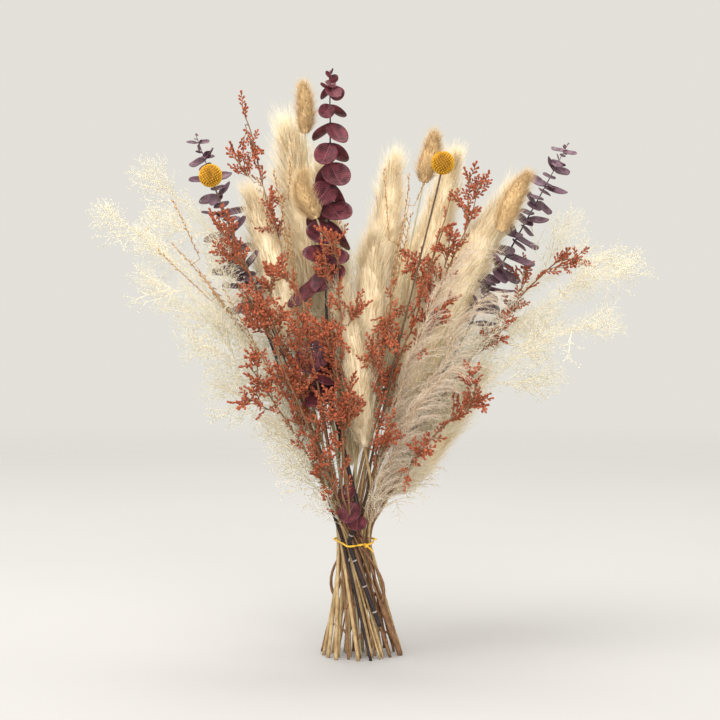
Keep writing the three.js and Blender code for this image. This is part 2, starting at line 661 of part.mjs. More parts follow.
// A billy button's ball: tiny florets stand as bumps all over a sphere, but for where its stalk meets it.
function ball(middle, ahead) {
  const form = new THREE.IcosahedronGeometry(BALL, 3);
  const merged = mergeVertices(new THREE.BufferGeometry().setAttribute("position", form.attributes.position), 1e-3);
  const spots = merged.attributes.position;
  for (let i = 0; i < spots.count; i++) {
    const spot = new THREE.Vector3().fromBufferAttribute(spots, i);
    const bump = i % 2 && spot.dot(ahead) > -0.88 * BALL ? 1 : FLORET_BASE;
    spot.multiplyScalar(bump);
    spots.setXYZ(i, spot.x, spot.y, spot.z);
  }
  return solidOf(merged).translate(middle.toArray());
}

// ---------------------------------------------------------------- the tie

// One turn of raffia drawn round the outermost stems, knotted in front with two short ends.
function tie(stems) {
  const turns = 26;
  const off = TIE_SLACK + TIE_GIRTH;
  const ring = [];
  for (let n = 0; n < turns; n++) {
    const angle = (2 * Math.PI * n) / turns;
    const way = at(Math.cos(angle), Math.sin(angle), 0);
    const height = TIE_HEIGHT - TIE_SAG * Math.max(0, -way.y);
    const spots = stems.map((stem) => {
      const share = (TIE_HEIGHT - height) / (TIE_HEIGHT - stem.line[TIED - 1].z);
      return stem.line[TIED].clone().lerp(stem.line[TIED - 1], share).setZ(height);
    });
    const reach = spots.map((p, i) => p.dot(way) + stems[i].girth * 1.05);
    const outermost = reach.indexOf(Math.max(...reach));
    ring.push(spots[outermost].addScaledVector(way, stems[outermost].girth * 1.05 + off));
  }
  const knot = ring[Math.round(turns * 0.86)].clone();
  const outwards = at(knot.x, knot.y, 0).normalize();
  knot.addScaledVector(outwards, 1);
  const end = (x, z) => [knot, knot.clone().addScaledVector(outwards, 4).add(at(x, 0, z))];
  return fuse([
    hoop(ring, TIE_GIRTH, 4),
    limb([knot.clone().add(at(-2, 0, 1)), knot, knot.clone().add(at(2.5, 0, -1.5))], [0.6, 2, 0.6], 5),
    limb(end(7, -9), [0.9, 0.7], 4),
    limb(end(9, 2), [0.8, 0.5], 4),
  ]);
}

// A closed hoop of a round section through a ring of points.
function hoop(ring, girth, sides) {
  const form = new THREE.TorusGeometry(1, 0.1, sides, ring.length);
  const spots = form.attributes.position;
  for (let i = 0; i < spots.count; i++) {
    const [x, y, z] = [spots.getX(i), spots.getY(i), spots.getZ(i)];
    const n = (Math.round((Math.atan2(y, x) / (2 * Math.PI)) * ring.length) + ring.length) % ring.length;
    const before = ring[(n + ring.length - 1) % ring.length];
    const after = ring[(n + 1) % ring.length];
    const outwards = after.clone().sub(before).cross(UP).normalize();
    const spot = ring[n].clone().addScaledVector(outwards, ((Math.hypot(x, y) - 1) / 0.1) * girth);
    spots.setXYZ(i, spot.x, spot.y, spot.z + (z / 0.1) * girth);
  }
  return solidOf(form);
}

// ---------------------------------------------------------------- the bundle

const USUAL = { foot: 0, droop: 0, leaf: 18, breadth: 0.66, pitch: 15, hang: radians(82), twist: radians(45) };
const stems = STEMS.map((entry, n) => {
  const { girth } = KINDS[entry.kind];
  return { ...USUAL, girth, core: entry.girth ?? girth, seed: 101 + n, ...entry };
});
const places = packInTie(stems);
stems.forEach((stem, n) => {
  stem.line = restingLine(stem, places[n]);
  stem.room = roomOf(stem);
});
settle(stems);
stems.forEach(finish);

const bundle = new THREE.Group();

function addSolid(name, solid, colour, roughness = 0.9) {
  placed.push({ name, solid });
  const material = new THREE.MeshStandardMaterial({ color: colour, roughness, metalness: 0 });
  const mesh = new THREE.Mesh(geometryOf(solid), material);
  mesh.name = name;
  bundle.add(mesh);
}

// Every stem and every head's middle takes its space first, then the kinds grow one after another.
for (const { name, kind, points, girths } of stems) {
  for (let k = 0; k + 1 < points.length; k++)
    claim(name, stretch(points[k], points[k + 1], girths[k] + 0.1, girths[k + 1] + 0.1));
  if (kind === "billy") claim(name, stretch(points.at(-1), points.at(-2), BALL, BALL));
  placed.push({ name, solid: limb(points, girths, KINDS[kind].sides, { cutFlat: true }) });
}

const ORDER = ["billy", "eucalyptus", "bunny", "spike", "limonium", "pampas", "reed", "airy"];
for (const kind of ORDER)
  for (const stem of stems.filter((s) => s.kind === kind))
    addSolid(stem.name, fuse([trunkOf(stem), ...twigsOf(stem), ...leavesOf(stem)]), KINDS[kind].colour);
for (const stem of stems.filter((s) => s.kind === "billy")) {
  const way = stem.line.at(-1).clone().sub(stem.line.at(-2)).normalize();
  const middle = stem.line.at(-1).clone().addScaledVector(way, FLORET_BASE * BALL + 0.3);
  addSolid(stem.name.replace("_stem", ""), ball(middle, way), 0xd9a92e);
}
addSolid("tie", tie(stems), 0xd9a521, 0.6);

// The origin comes under the middle of the bundle's box.
const box = new THREE.Box3().setFromObject(bundle);
bundle.position.set(-(box.min.x + box.max.x) / 2, -(box.min.y + box.max.y) / 2, 0);

export default bundle;
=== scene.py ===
import math
import random

import bmesh
import bpy
from mathutils import Matrix, Quaternion, Vector


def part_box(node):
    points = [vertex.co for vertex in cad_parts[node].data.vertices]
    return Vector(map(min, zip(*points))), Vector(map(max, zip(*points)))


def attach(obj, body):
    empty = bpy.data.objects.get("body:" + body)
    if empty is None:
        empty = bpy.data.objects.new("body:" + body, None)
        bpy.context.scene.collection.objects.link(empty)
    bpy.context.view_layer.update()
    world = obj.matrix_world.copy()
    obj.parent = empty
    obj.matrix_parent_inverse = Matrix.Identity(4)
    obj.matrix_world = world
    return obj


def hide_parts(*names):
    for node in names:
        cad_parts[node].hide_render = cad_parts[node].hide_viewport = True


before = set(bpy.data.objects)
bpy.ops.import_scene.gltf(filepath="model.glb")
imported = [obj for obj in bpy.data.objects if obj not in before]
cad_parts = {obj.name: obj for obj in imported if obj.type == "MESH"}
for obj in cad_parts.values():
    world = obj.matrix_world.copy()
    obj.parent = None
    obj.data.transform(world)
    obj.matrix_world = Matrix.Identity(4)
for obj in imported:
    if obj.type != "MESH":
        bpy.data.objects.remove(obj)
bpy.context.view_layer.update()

# ---------------------------------------- pampas plumes
# Twelve plumes of cream silk, each on a straw that runs from its cut end through the tie up into the head.
# A slim core carries three to six thousand hairs in small tufts, 18 to 28 mm long, which lean 5 to 22
# degrees out of it and close to a soft point. The core is a darker cream than the silk: painted shade
# under the hairs.
MM = 0.001
UP = Vector((0, 0, 1))
GOLDEN = math.radians(137.508)  # the turn from each hair, twig or floret to the next
TIE_Z = 91 * MM
PLUMES = {
    # name: head length and core radius, mm
    "pampas_left": (130, 9.5),
    "pampas_left_tall": (150, 9.5),
    "pampas_inner_left": (160, 9),
    "pampas_front": (120, 7.5),
    "pampas_middle": (140, 9.5),
    "pampas_tall": (160, 9),
    "pampas_right_tall": (130, 7.5),
    "pampas_right": (205, 13),
    "pampas_low_right": (115, 9.5),
    "pampas_back_left": (150, 9.5),
    "pampas_back_right": (150, 9.5),
    "pampas_back_low": (130, 9),
}
PACKED_STRAW = 1.75 * MM  # the solid's radius, to slice it by
STRAW_GIRTH = 1.3 * MM
SILK_LENGTH = (18, 28)  # mm
SILK_LEAN = (5, 22)  # degrees out of the core
LOOSE = {"pampas_left_tall": 1.6}  # the plume whose silk stands wider than in the others


def merged(name):
    """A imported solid's surface with its triangles joined at their corners."""
    bm = bmesh.new()
    bm.from_mesh(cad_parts[name].data)
    bmesh.ops.remove_doubles(bm, verts=bm.verts, dist=0.002 * MM)
    return bm


def middle_line(name, girth, head_girth, head):
    """The middle of a stem from its cut end to its tip, in steps of 4 mm, found by slicing its solid."""
    step = 4 * MM
    most_steps = 200
    bm = merged(name)
    edges = [tuple(vert.co.copy() for vert in edge.verts) for edge in bm.edges]
    corners = [vert.co.copy() for vert in bm.verts]
    bm.free()
    bottom = min(co.z for co in corners)
    cut_end = [co for co in corners if co.z < bottom + 0.3 * MM]
    here = sum(cut_end, Vector()) / len(cut_end)
    far = max((co - here).length for co in corners)
    line = [here]
    ahead = UP.copy()
    while len(line) < most_steps:
        by_cut_end = len(line) < 4
        guess = here + ahead * step
        reach = 1.15 * girth + 0.7 * MM
        if head_girth > girth and far - (guess - line[0]).length < head:
            reach = 1.3 * head_girth + 1.5 * MM
        beside = ahead.orthogonal().normalized()
        behind = ahead.cross(beside)
        slices = []
        for a, b in edges:
            above_a, above_b = (a - guess).dot(ahead), (b - guess).dot(ahead)
            if above_a * above_b < 0:
                slices.append(a.lerp(b, above_a / (above_a - above_b)) - guess)
        for wider in (1, 1.7, 2.6):
            spots = [(spot.dot(beside), spot.dot(behind)) for spot in slices if spot.length < reach * wider]
            if len(spots) > 2:
                break
        if len(spots) < 3:
            break
        trust = 1 if by_cut_end else 0.6
        across, back = ((min(s[i] for s in spots) + max(s[i] for s in spots)) / 2 * trust for i in (0, 1))
        new = guess + beside * across + behind * back
        ahead = ahead.lerp((new - here).normalized(), 1 if by_cut_end else 0.5).normalized()
        here = new
        line.append(here)
    last = max([0] + [(co - here).dot(ahead) for co in corners if (co - here).cross(ahead).length < 3 * MM])
    line.append(here + ahead * max(0.5 * MM, min(last, 12 * MM)))
    for _ in range(3):
        inner = [(line[i - 1] + line[i] * 2 + line[i + 1]) / 4 for i in range(1, len(line) - 1)]
        line = [line[0]] + inner + [line[-1]]
    return line


def along(line, share):
    """(point, direction) at a share of a line's length."""
    lengths = [(b - a).length for a, b in zip(line, line[1:])]
    left = max(0.0, min(1.0, share)) * sum(lengths)
    for a, b, length in zip(line, line[1:], lengths):
        if left <= length:
            return a.lerp(b, left / length if length else 0), (b - a).normalized()
        left -= length
    return line[-1].copy(), (line[-1] - line[-2]).normalized()


def length_of(line):
    return sum((b - a).length for a, b in zip(line, line[1:]))


def outwards(ahead, turn):
    """A direction square to ahead, turned round it."""
    side = ahead.orthogonal().normalized()
    return Quaternion(ahead, turn) @ side


def leaning(ahead, away, lean):
    """A direction that leans from ahead towards away."""
    return (ahead * math.cos(lean) + away * math.sin(lean)).normalized()


def kept_mesh(bm, name, smooth=False):
    """Working geometry as a mesh, for a finished piece or for a small shape that is copied many times."""
    if smooth:
        for face in bm.faces:
            face.smooth = True
    mesh = bpy.data.meshes.new(name)
    bm.to_mesh(mesh)
    bm.free()
    return mesh


def finished(bm, name, materials, smooth=True):
    """A finished piece from working geometry."""
    mesh = kept_mesh(bm, name, smooth)
    for material in materials:
        mesh.materials.append(material)
    piece = bpy.data.objects.new(name, mesh)
    bpy.context.scene.collection.objects.link(piece)
    return piece


def paint_after(bm, done, material_index):
    """Gives the faces that came after the first ones another of the piece's materials."""
    bm.faces.ensure_lookup_table()
    for face in bm.faces[done:]:
        face.material_index = material_index


def tubes(bm, lines, sides, material_index=0):
    """Adds closed round limbs with an even number of sides: each line is a list of (point, radius)."""
    curve = bpy.data.curves.new("limbs", "CURVE")
    curve.dimensions = "3D"
    curve.bevel_depth = 1
    curve.bevel_resolution = max(0, (sides - 4) // 2)
    curve.use_fill_caps = True
    for line in lines:
        spline = curve.splines.new("POLY")
        spline.points.add(len(line) - 1)
        for point, (co, radius) in zip(spline.points, line):
            point.co = (*co, 1)
            point.radius = radius
    holder = bpy.data.objects.new("limbs", curve)
    mesh = bpy.data.meshes.new_from_object(holder)
    for polygon in mesh.polygons:
        polygon.material_index = material_index
    weld = bmesh.new()
    weld.from_mesh(mesh)
    bmesh.ops.remove_doubles(weld, verts=weld.verts, dist=1e-7)
    weld.to_mesh(mesh)
    weld.free()
    bm.from_mesh(mesh)
    bpy.data.objects.remove(holder)
    bpy.data.curves.remove(curve)
    bpy.data.meshes.remove(mesh)


def add(bm, shape, at, ahead, turn=0.0, size=1.0, width=None):
    """Adds a copy of a small shape, which grows along +Z, with its foot at a point."""
    aim = UP.rotation_difference(ahead).to_matrix().to_4x4()
    spin = Matrix.Rotation(turn, 4, "Z")
    width = size if width is None else width
    copy = shape.copy()
    copy.transform(Matrix.Translation(at) @ aim @ spin @ Matrix.Diagonal((width, width, size, 1)))
    bm.from_mesh(copy)
    bpy.data.meshes.remove(copy)


def maths(nodes, operation, second=None):
    """A shader's math node, with its second number set where it has one."""
    node = nodes.new("ShaderNodeMath")
    node.operation = operation
    if second is not None:
        node.inputs[1].default_value = second
    return node


def rise_between(nodes, low, high):
    """A shader node that turns a value into a share: 0 at low and 1 at high."""
    node = nodes.new("ShaderNodeMapRange")
    node.inputs["From Min"].default_value = low
    node.inputs["From Max"].default_value = high
    return node


def wire(links, *joints):
    """Joins shader nodes: each joint is (node, its output, node, its input)."""
    for giver, output, taker, socket in joints:
        links.new(giver.outputs[output], taker.inputs[socket])


# Dry plant matter is never one colour: patches of a lighter and a darker tone, and fine streaks along Z.
def mottle_group():
    group = bpy.data.node_groups.new("mottle", "ShaderNodeTree")
    face = group.interface
    for name, kind in (("Light", "Color"), ("Dark", "Color"), ("Patch", "Float"), ("Streak", "Float")):
        face.new_socket(name, in_out="INPUT", socket_type="NodeSocket" + kind)
    face.new_socket("Color", in_out="OUTPUT", socket_type="NodeSocketColor")
    face.new_socket("Mask", in_out="OUTPUT", socket_type="NodeSocketFloat")
    nodes, links = group.nodes, group.links
    given, out = nodes.new("NodeGroupInput"), nodes.new("NodeGroupOutput")
    coords = nodes.new("ShaderNodeTexCoord")
    patches = nodes.new("ShaderNodeTexNoise")
    patches.inputs["Detail"].default_value = 4
    stretch = nodes.new("ShaderNodeMapping")
    stretch.inputs["Scale"].default_value = (1, 1, 0.12)
    streaks = nodes.new("ShaderNodeTexNoise")
    streaks.inputs["Detail"].default_value = 2
    both = maths(nodes, "ADD")
    ramp = rise_between(nodes, 0.78, 1.25)
    mix = nodes.new("ShaderNodeMix")
    mix.data_type = "RGBA"
    wire(
        links,
        (coords, "Object", patches, "Vector"),
        (given, "Patch", patches, "Scale"),
        (coords, "Object", stretch, "Vector"),
        (stretch, "Vector", streaks, "Vector"),
        (given, "Streak", streaks, "Scale"),
        (patches, "Fac", both, 0),
        (streaks, "Fac", both, 1),
        (both, "Value", ramp, "Value"),
        (ramp, "Result", mix, "Factor"),
        (given, "Dark", mix, "A"),
        (given, "Light", mix, "B"),
        (mix, "Result", out, "Color"),
        (ramp, "Result", out, "Mask"),
    )
    return group


MOTTLE = mottle_group()


def dry(name, light, dark, patch=90, streak=900, rough=0.8, through=0.0, sheen=0.0, bump=0.0):
    """A dry plant material: mottled, rough, and where it is thin some light passes through it."""
    material = bpy.data.materials.new(name)
    material.use_nodes = True
    nodes, links = material.node_tree.nodes, material.node_tree.links
    surface = nodes["Principled BSDF"]
    colour = nodes.new("ShaderNodeGroup")
    colour.node_tree = MOTTLE
    colour.inputs["Light"].default_value = (*light, 1)
    colour.inputs["Dark"].default_value = (*dark, 1)
    colour.inputs["Patch"].default_value = patch
    colour.inputs["Streak"].default_value = streak
    surface.inputs["Roughness"].default_value = rough
    surface.inputs["Specular IOR Level"].default_value = 0.25
    surface.inputs["Sheen Weight"].default_value = sheen
    surface.inputs["Sheen Roughness"].default_value = 0.4
    wire(links, (colour, "Color", surface, "Base Color"))
    if bump:
        relief = nodes.new("ShaderNodeBump")
        relief.inputs["Strength"].default_value = bump
        relief.inputs["Distance"].default_value = 0.4 * MM
        wire(links, (colour, "Mask", relief, "Height"), (relief, "Normal", surface, "Normal"))
    if through:
        glow = nodes.new("ShaderNodeBsdfTranslucent")
        mix = nodes.new("ShaderNodeMixShader")
        mix.inputs["Fac"].default_value = through
        wire(
            links,
            (colour, "Color", glow, "Color"),
            (surface, "BSDF", mix, 1),
            (glow, "BSDF", mix, 2),
            (mix, "Shader", nodes["Material Output"], "Surface"),
        )
    return material


def stalk(line, girth, until, rng, joints=55 * MM, foot=1.0):
    """A stalk from its cut end up to a share of its line, thicker at its joints and below the tie."""
    step = 4 * MM
    joint_reach = 4 * MM
    total = length_of(line)
    phase = rng.random() * joints
    steps = max(4, int(until * total / step))
    limb = []
    for i in range(steps + 1):
        share = until * i / steps
        point = along(line, share)[0]
        to_joint = abs((share * total + phase) % joints - joints / 2)
        thicker = 1 + 0.16 * max(0.0, 1 - to_joint / joint_reach)
        thicker *= 1 + (foot - 1) * max(0.0, 1 - point.z / TIE_Z)
        limb.append((point, girth * thicker * (1 - 0.15 * share)))
    return limb


def core(line, start, girth, outline, rings=26):
    """The dense middle of a head, from a share of the line to its end."""
    limb = []
    for i in range(rings + 1):
        share = i / rings
        point = along(line, start + (1 - start) * share)[0]
        limb.append((point, max(0.15 * MM, girth * outline(share) * (1 if i < rings else 0.05))))
    return limb


def cone(sides, foot, top, depth, middle):
    """A closed cone about +Z as working geometry, from its two radii, its depth and its middle's height."""
    bm = bmesh.new()
    bmesh.ops.create_cone(
        bm, cap_ends=True, segments=sides, radius1=foot, radius2=top, depth=depth,
        matrix=Matrix.Translation((0, 0, middle)),
    )
    return bm


def hair_shape(girth, bends=True):
    """One straight hair, 1 long along +Z: a three-sided needle, with a ring half way where it bends."""
    bm = cone(3, girth, 0, 1, 0.5)
    if bends:
        everything = bm.verts[:] + bm.edges[:] + bm.faces[:]
        bmesh.ops.bisect_plane(bm, geom=everything, plane_co=(0, 0, 0.5), plane_no=(0, 0, 1))
    for vert in bm.verts:
        if abs(vert.co.z - 0.5) < 0.01:
            vert.co.xy *= 1.5
    return kept_mesh(bm, "hair")


def lock(hairs, girth, spread, foot, curl, seed):
    """A tuft of hairs, 1 long, from one small patch: fanned out about +Z and curling apart at their ends."""
    rng = random.Random(seed)
    hair = hair_shape(girth)
    bm = bmesh.new()
    for _ in range(hairs):
        turn, lean = rng.uniform(0, 2 * math.pi), spread * math.sqrt(rng.random())
        size = rng.uniform(0.6, 1.1)
        away = Vector((math.cos(turn), math.sin(turn), 0))
        root = away * foot * math.sqrt(rng.random())
        root.z = rng.uniform(-0.1, 0.12)
        copy = hair.copy()
        copy.transform(Matrix.Rotation(rng.uniform(0, 3), 4, "Z"))
        for vert in copy.vertices:
            rise = vert.co.z
            shift = away * (math.sin(lean) * rise + curl * rise * rise) * size
            vert.co = Vector((vert.co.x, vert.co.y, 0)) + root + shift
            vert.co.z += math.cos(lean) * rise * size
        bm.from_mesh(copy)
        bpy.data.meshes.remove(copy)
    return kept_mesh(bm, "lock", smooth=True)


def swell(share):
    """A plume's outline from neck to tip: soon wide, then slowly closing to a point."""
    widest = 0.4
    if share < widest:
        return 0.3 + 0.7 * math.sin(math.pi / 2 * min(1, share / widest)) ** 0.8
    return max(0.0, 1 - ((share - widest) / (1 - widest)) ** 1.8) ** 0.75


straw = dry(
    "straw", (0.57, 0.42, 0.22), (0.28, 0.17, 0.075),
    patch=60, streak=1500, rough=0.55, bump=0.3,
)
plume = dry(
    "plume", (1.0, 0.93, 0.77), (0.98, 0.86, 0.64),
    patch=70, streak=300, rough=0.9, through=0.5,
)
# the core is a darker cream than the silk on it: painted shade under the hairs, where it shows between them
shaded_plume_core = dry(
    "plume core shade", (0.87, 0.75, 0.54), (0.81, 0.67, 0.46),
    patch=120, streak=900, rough=0.95, bump=0.4,
)
silk = [lock(11, 0.0055, spread=math.radians(12), foot=0.14, curl=0.08, seed=40 + n) for n in range(4)]
for number, (name, (head, girth)) in enumerate(PLUMES.items()):
    rng = random.Random(500 + number)
    line = middle_line(name, PACKED_STRAW, girth * MM, head * MM)
    total = length_of(line)
    start = 1 - head * MM / total
    bm = bmesh.new()
    tubes(bm, [stalk(line, STRAW_GIRTH, start + 0.05, rng, foot=1.15)], 8, 0)
    uneven = core(line, start, 1.25 * girth * MM, lambda share: swell(share) * rng.uniform(0.94, 1.06))
    tubes(bm, [uneven], 14, 1)
    body_faces = len(bm.faces)
    loose = LOOSE.get(name, 1)
    tufts = int(head * (1.6 + 0.09 * girth))
    for n in range(tufts):
        share = (n + rng.random()) / tufts
        point, ahead = along(line, start + (1 - start) * share * 0.97)
        away = outwards(ahead, n * GOLDEN + rng.uniform(-0.4, 0.4))
        lean = math.radians(rng.uniform(*SILK_LEAN)) * (1 - 0.4 * share) * loose
        root = point + away * 1.15 * girth * MM * swell(share)
        size = rng.uniform(*SILK_LENGTH) * MM * (0.8 + 0.02 * girth) * math.sqrt(loose)
        tuft = silk[rng.randrange(len(silk))]
        add(bm, tuft, root, leaning(ahead, away, lean), rng.uniform(0, 6), size)
    paint_after(bm, body_faces, 2)
    piece = finished(bm, name + "_plume", [straw, shaded_plume_core, plume])
    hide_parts(name)
    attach(piece, "root")

# ---------------------------------------- feathery reeds
# Four reed plumes of grey-beige, long and loose: fine side branches 38 to 58 mm long arch out of a thin
# stalk, each fringed with silvery hairs about 5 mm long.
REEDS = {"reed_right": 185, "reed_right_tall": 170, "reed_right_low": 140, "reed_back_left": 150}  # head, mm
PACKED_REED = 1.5 * MM
PACKED_REED_HEAD = 4 * MM
REED_GIRTH = 1.25 * MM
BRANCHES_PER_MM = 0.62
BRANCH_LENGTH = (38, 58)  # mm, at the foot of the head
BRANCH_LEAN = (8, 22)  # degrees


def tapered(points, girth, loss):
    """A limb along some points that loses a share of its radius by its end."""
    last = len(points) - 1
    return [(point, girth * (1 - loss * i / last)) for i, point in enumerate(points)]


def feather(hairs, seed):
    """A side branch 1 long: a hair-fine spine that arches over towards +Y, fringed with short hairs."""
    rng = random.Random(seed)
    bm = bmesh.new()
    spine = []
    for t in (i / 8 for i in range(9)):
        spine.append(Vector((0.03 * math.sin(5 * t), 0.46 * t * t, t * (1 - 0.2 * t * t))))
    tubes(bm, [tapered(spine, 0.006, 0.7)], 4)
    hair = hair_shape(0.032, bends=False)
    for n in range(hairs):
        share = 0.05 + 0.95 * (n + rng.random()) / hairs
        point, ahead = along(spine, share)
        away = outwards(ahead, n * GOLDEN)
        lean = math.radians(rng.uniform(18, 44))
        size = rng.uniform(0.09, 0.15) * (1.15 - 0.5 * share)
        add(bm, hair, point, leaning(ahead, away, lean), rng.random(), size)
    return kept_mesh(bm, "feather")


def arched(way, fall):
    """The turn round a direction that brings a shape's +Y side to face where it falls."""
    level = UP.rotation_difference(way) @ Vector((0, 1, 0))
    aim = fall - fall.project(way)
    turn = level.angle(aim) if aim.length > 1e-6 else 0.0
    return -turn if level.cross(aim).dot(way) < 0 else turn


silver = dry(
    "reed silk", (0.94, 0.84, 0.71), (0.82, 0.69, 0.54),
    patch=90, streak=500, rough=0.75, through=0.4, sheen=0.15,
)
feathers = [feather(44, 70 + n) for n in range(4)]
for number, (name, head) in enumerate(REEDS.items()):
    rng = random.Random(600 + number)
    line = middle_line(name, PACKED_REED, PACKED_REED_HEAD, head * MM)
    total = length_of(line)
    start = 1 - head * MM / total
    bm = bmesh.new()
    tubes(bm, [stalk(line, REED_GIRTH, start, rng, foot=1.1)], 8, 0)
    tubes(bm, [core(line, start, 1.4 * MM, lambda share: 1 - 0.8 * share, 20)], 6, 0)
    stalk_faces = len(bm.faces)
    out = Vector((line[-1].x - line[0].x, 0.35 * (line[-1].y - line[0].y), 0)).normalized()
    fall = (out + Vector((0, 0, -0.35))).normalized()
    branches = int(head * BRANCHES_PER_MM)
    for n in range(branches):
        share = (n + rng.random()) / branches
        point, ahead = along(line, start - 0.05 + (1.05 - start) * share * 0.98)
        away = outwards(ahead, n * GOLDEN + rng.uniform(-0.3, 0.3))
        away = (Vector((away.x, 0.65 * away.y, away.z)) + 0.45 * out).normalized()
        way = leaning(ahead, away, math.radians(rng.uniform(*BRANCH_LEAN)))
        size = rng.uniform(*BRANCH_LENGTH) * MM * (1 - 0.35 * share)
        add(bm, feathers[n % 4], point, way, arched(way, fall + 0.5 * away), size)
    paint_after(bm, stalk_faces, 1)
    piece = finished(bm, name + "_feathers", [straw, silver])
    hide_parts(name)
    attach(piece, "root")

# ---------------------------------------- airy grass
# Eight sprays of love grass, off-white: hair-fine twigs that fork twice and end in spikelets 2 mm long,
# so open that each spray reads as a cloud.
AIRY = {
    # name: head length, mm
    "airy_left_far": 200,
    "airy_left_high": 190,
    "airy_left_front": 180,
    "airy_left_low": 140,
    "airy_right_far": 215,
    "airy_right_high": 200,
    "airy_right_front": 180,
    "airy_back": 170,
}
PACKED_AIRY = 0.8 * MM
AIRY_GIRTH = 0.75 * MM
SHORTEST_TWIG = 18 * MM
MIST_LENGTH = (26, 44)  # mm, at the foot of the head
MIST_LEAN = (16, 40)  # degrees


def twigs_of(name, line, girth):
    """The twigs or leaves of a node: each lump of its surface that stands off the stem's line."""
    bm = merged(name)
    dense = [along(line, i / 150)[0] for i in range(151)]
    off_stem = {v: min((v.co - p).length for p in dense) for v in bm.verts}
    todo = {v for v in bm.verts if off_stem[v] > girth + 1.3 * MM}
    lumps = []
    for first in bm.verts:
        if first not in todo:
            continue
        todo.remove(first)
        lump, edge = [], [first]
        while edge:
            vert = edge.pop()
            lump.append(vert)
            for link in vert.link_edges:
                other = link.other_vert(vert)
                if other in todo:
                    todo.remove(other)
                    edge.append(other)
        root = min(lump, key=lambda v: off_stem[v])
        tip = max(lump, key=lambda v: (v.co - root.co).length)
        lumps.append((root.co.copy(), tip.co.copy(), [v.co.copy() for v in lump]))
    bm.free()
    return lumps


def long_twigs(name, line, girth, least):
    """[joint on the stem, root, tip] of each twig of a node that is at least so long."""
    found = []
    for root, tip, _ in twigs_of(name, line, girth):
        if (tip - root).length >= least:
            joint = min((along(line, i / 200)[0] for i in range(201)), key=lambda p: (p - root).length)
            found.append([joint, root, tip])
    return found


def twig_limb(twig, foot, half_way, end):
    """A twig as a limb, from the stem's middle to its tip, with three radii in mm."""
    joint, root, tip = twig
    return [(joint, foot * MM), (root, foot * MM), (root.lerp(tip, 0.5), half_way * MM), (tip, end * MM)]


def spikelet():
    """A seed head 1 long: a slim spindle, pointed at both ends."""
    bm = cone(4, 0.13, 0, 0.6, 0.7)
    low = bmesh.ops.poke(bm, faces=[f for f in bm.faces if abs(f.calc_center_median().z - 0.4) < 0.01])
    for vert in low["verts"]:
        vert.co.z = 0
    return kept_mesh(bm, "spikelet")


SPIKELET = spikelet()


def mist(twigs, seed):
    """A spray 1 long: a bent hair-fine twig with forking side twigs, each with a spikelet at its end."""
    rng = random.Random(seed)
    bm = bmesh.new()
    hair = hair_shape(0.012, bends=False)
    bend = rng.uniform(-0.12, 0.2)
    spine = [Vector((0, bend * t * t, t)) for t in (i / 5 for i in range(6))]
    tubes(bm, [tapered(spine, 0.0075, 0.6)], 4)
    for n in range(twigs):
        share = 0.2 + 0.8 * (n + rng.random()) / twigs
        point, ahead = along(spine, share)
        away = outwards(ahead, n * GOLDEN + rng.random())
        way = leaning(ahead, away, math.radians(rng.uniform(25, 60)))
        size = rng.uniform(0.22, 0.42) * (1.1 - 0.4 * share)
        add(bm, hair, point, way, 0, size, 0.8)
        add(bm, SPIKELET, point + way * size * 0.97, way, rng.random(), 0.065)
        for _ in range(2):
            fork = (way + Vector([rng.uniform(-0.7, 0.7) for _ in range(3)])).normalized()
            root = point + way * size * rng.uniform(0.35, 0.75)
            reach = size * rng.uniform(0.3, 0.5)
            add(bm, hair, root, fork, 0, reach, 0.6)
            add(bm, SPIKELET, root + fork * reach * 0.97, fork, rng.random(), 0.055)
    return kept_mesh(bm, "mist")


haze = dry(
    "airy grass", (0.98, 0.94, 0.81), (0.94, 0.88, 0.71),
    patch=90, streak=300, rough=0.8, through=0.4,
)
mists = [mist(7, 90 + n) for n in range(5)]
for number, (name, head) in enumerate(AIRY.items()):
    rng = random.Random(700 + number)
    line = middle_line(name, PACKED_AIRY, PACKED_AIRY, head * MM)
    total = length_of(line)
    start = 1 - head * MM / total
    bm = bmesh.new()
    tubes(bm, [stalk(line, AIRY_GIRTH, start, rng)], 6, 1)
    limbs = [core(line, start - 0.01, 0.62 * MM, lambda share: 1 - 0.75 * share, 30)]
    carriers = [(line, start - 0.03, 0.75 * head)]  # what carries mists, from which share on, and how many
    for twig in long_twigs(name, line, PACKED_AIRY, SHORTEST_TWIG):
        limbs.append(twig_limb(twig, 0.3, 0.25, 0.12))
        carriers.append((twig, 0.1, (twig[2] - twig[1]).length / MM * 0.62))
    tubes(bm, limbs, 4, 0)
    for carrier, begin, count in carriers:
        for n in range(int(count)):
            share = begin + (1 - begin) * (n + rng.random()) / count
            point, ahead = along(carrier, share)
            away = outwards(ahead, n * GOLDEN + rng.random())
            way = leaning(ahead, away, math.radians(rng.uniform(*MIST_LEAN)))
            size = rng.uniform(*MIST_LENGTH) * MM * (1 - 0.61 * share)
            add(bm, mists[n % 5], point, way, rng.uniform(0, 6), size)
    piece = finished(bm, name + "_spray", [haze, straw])
    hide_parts(name)
    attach(piece, "root")

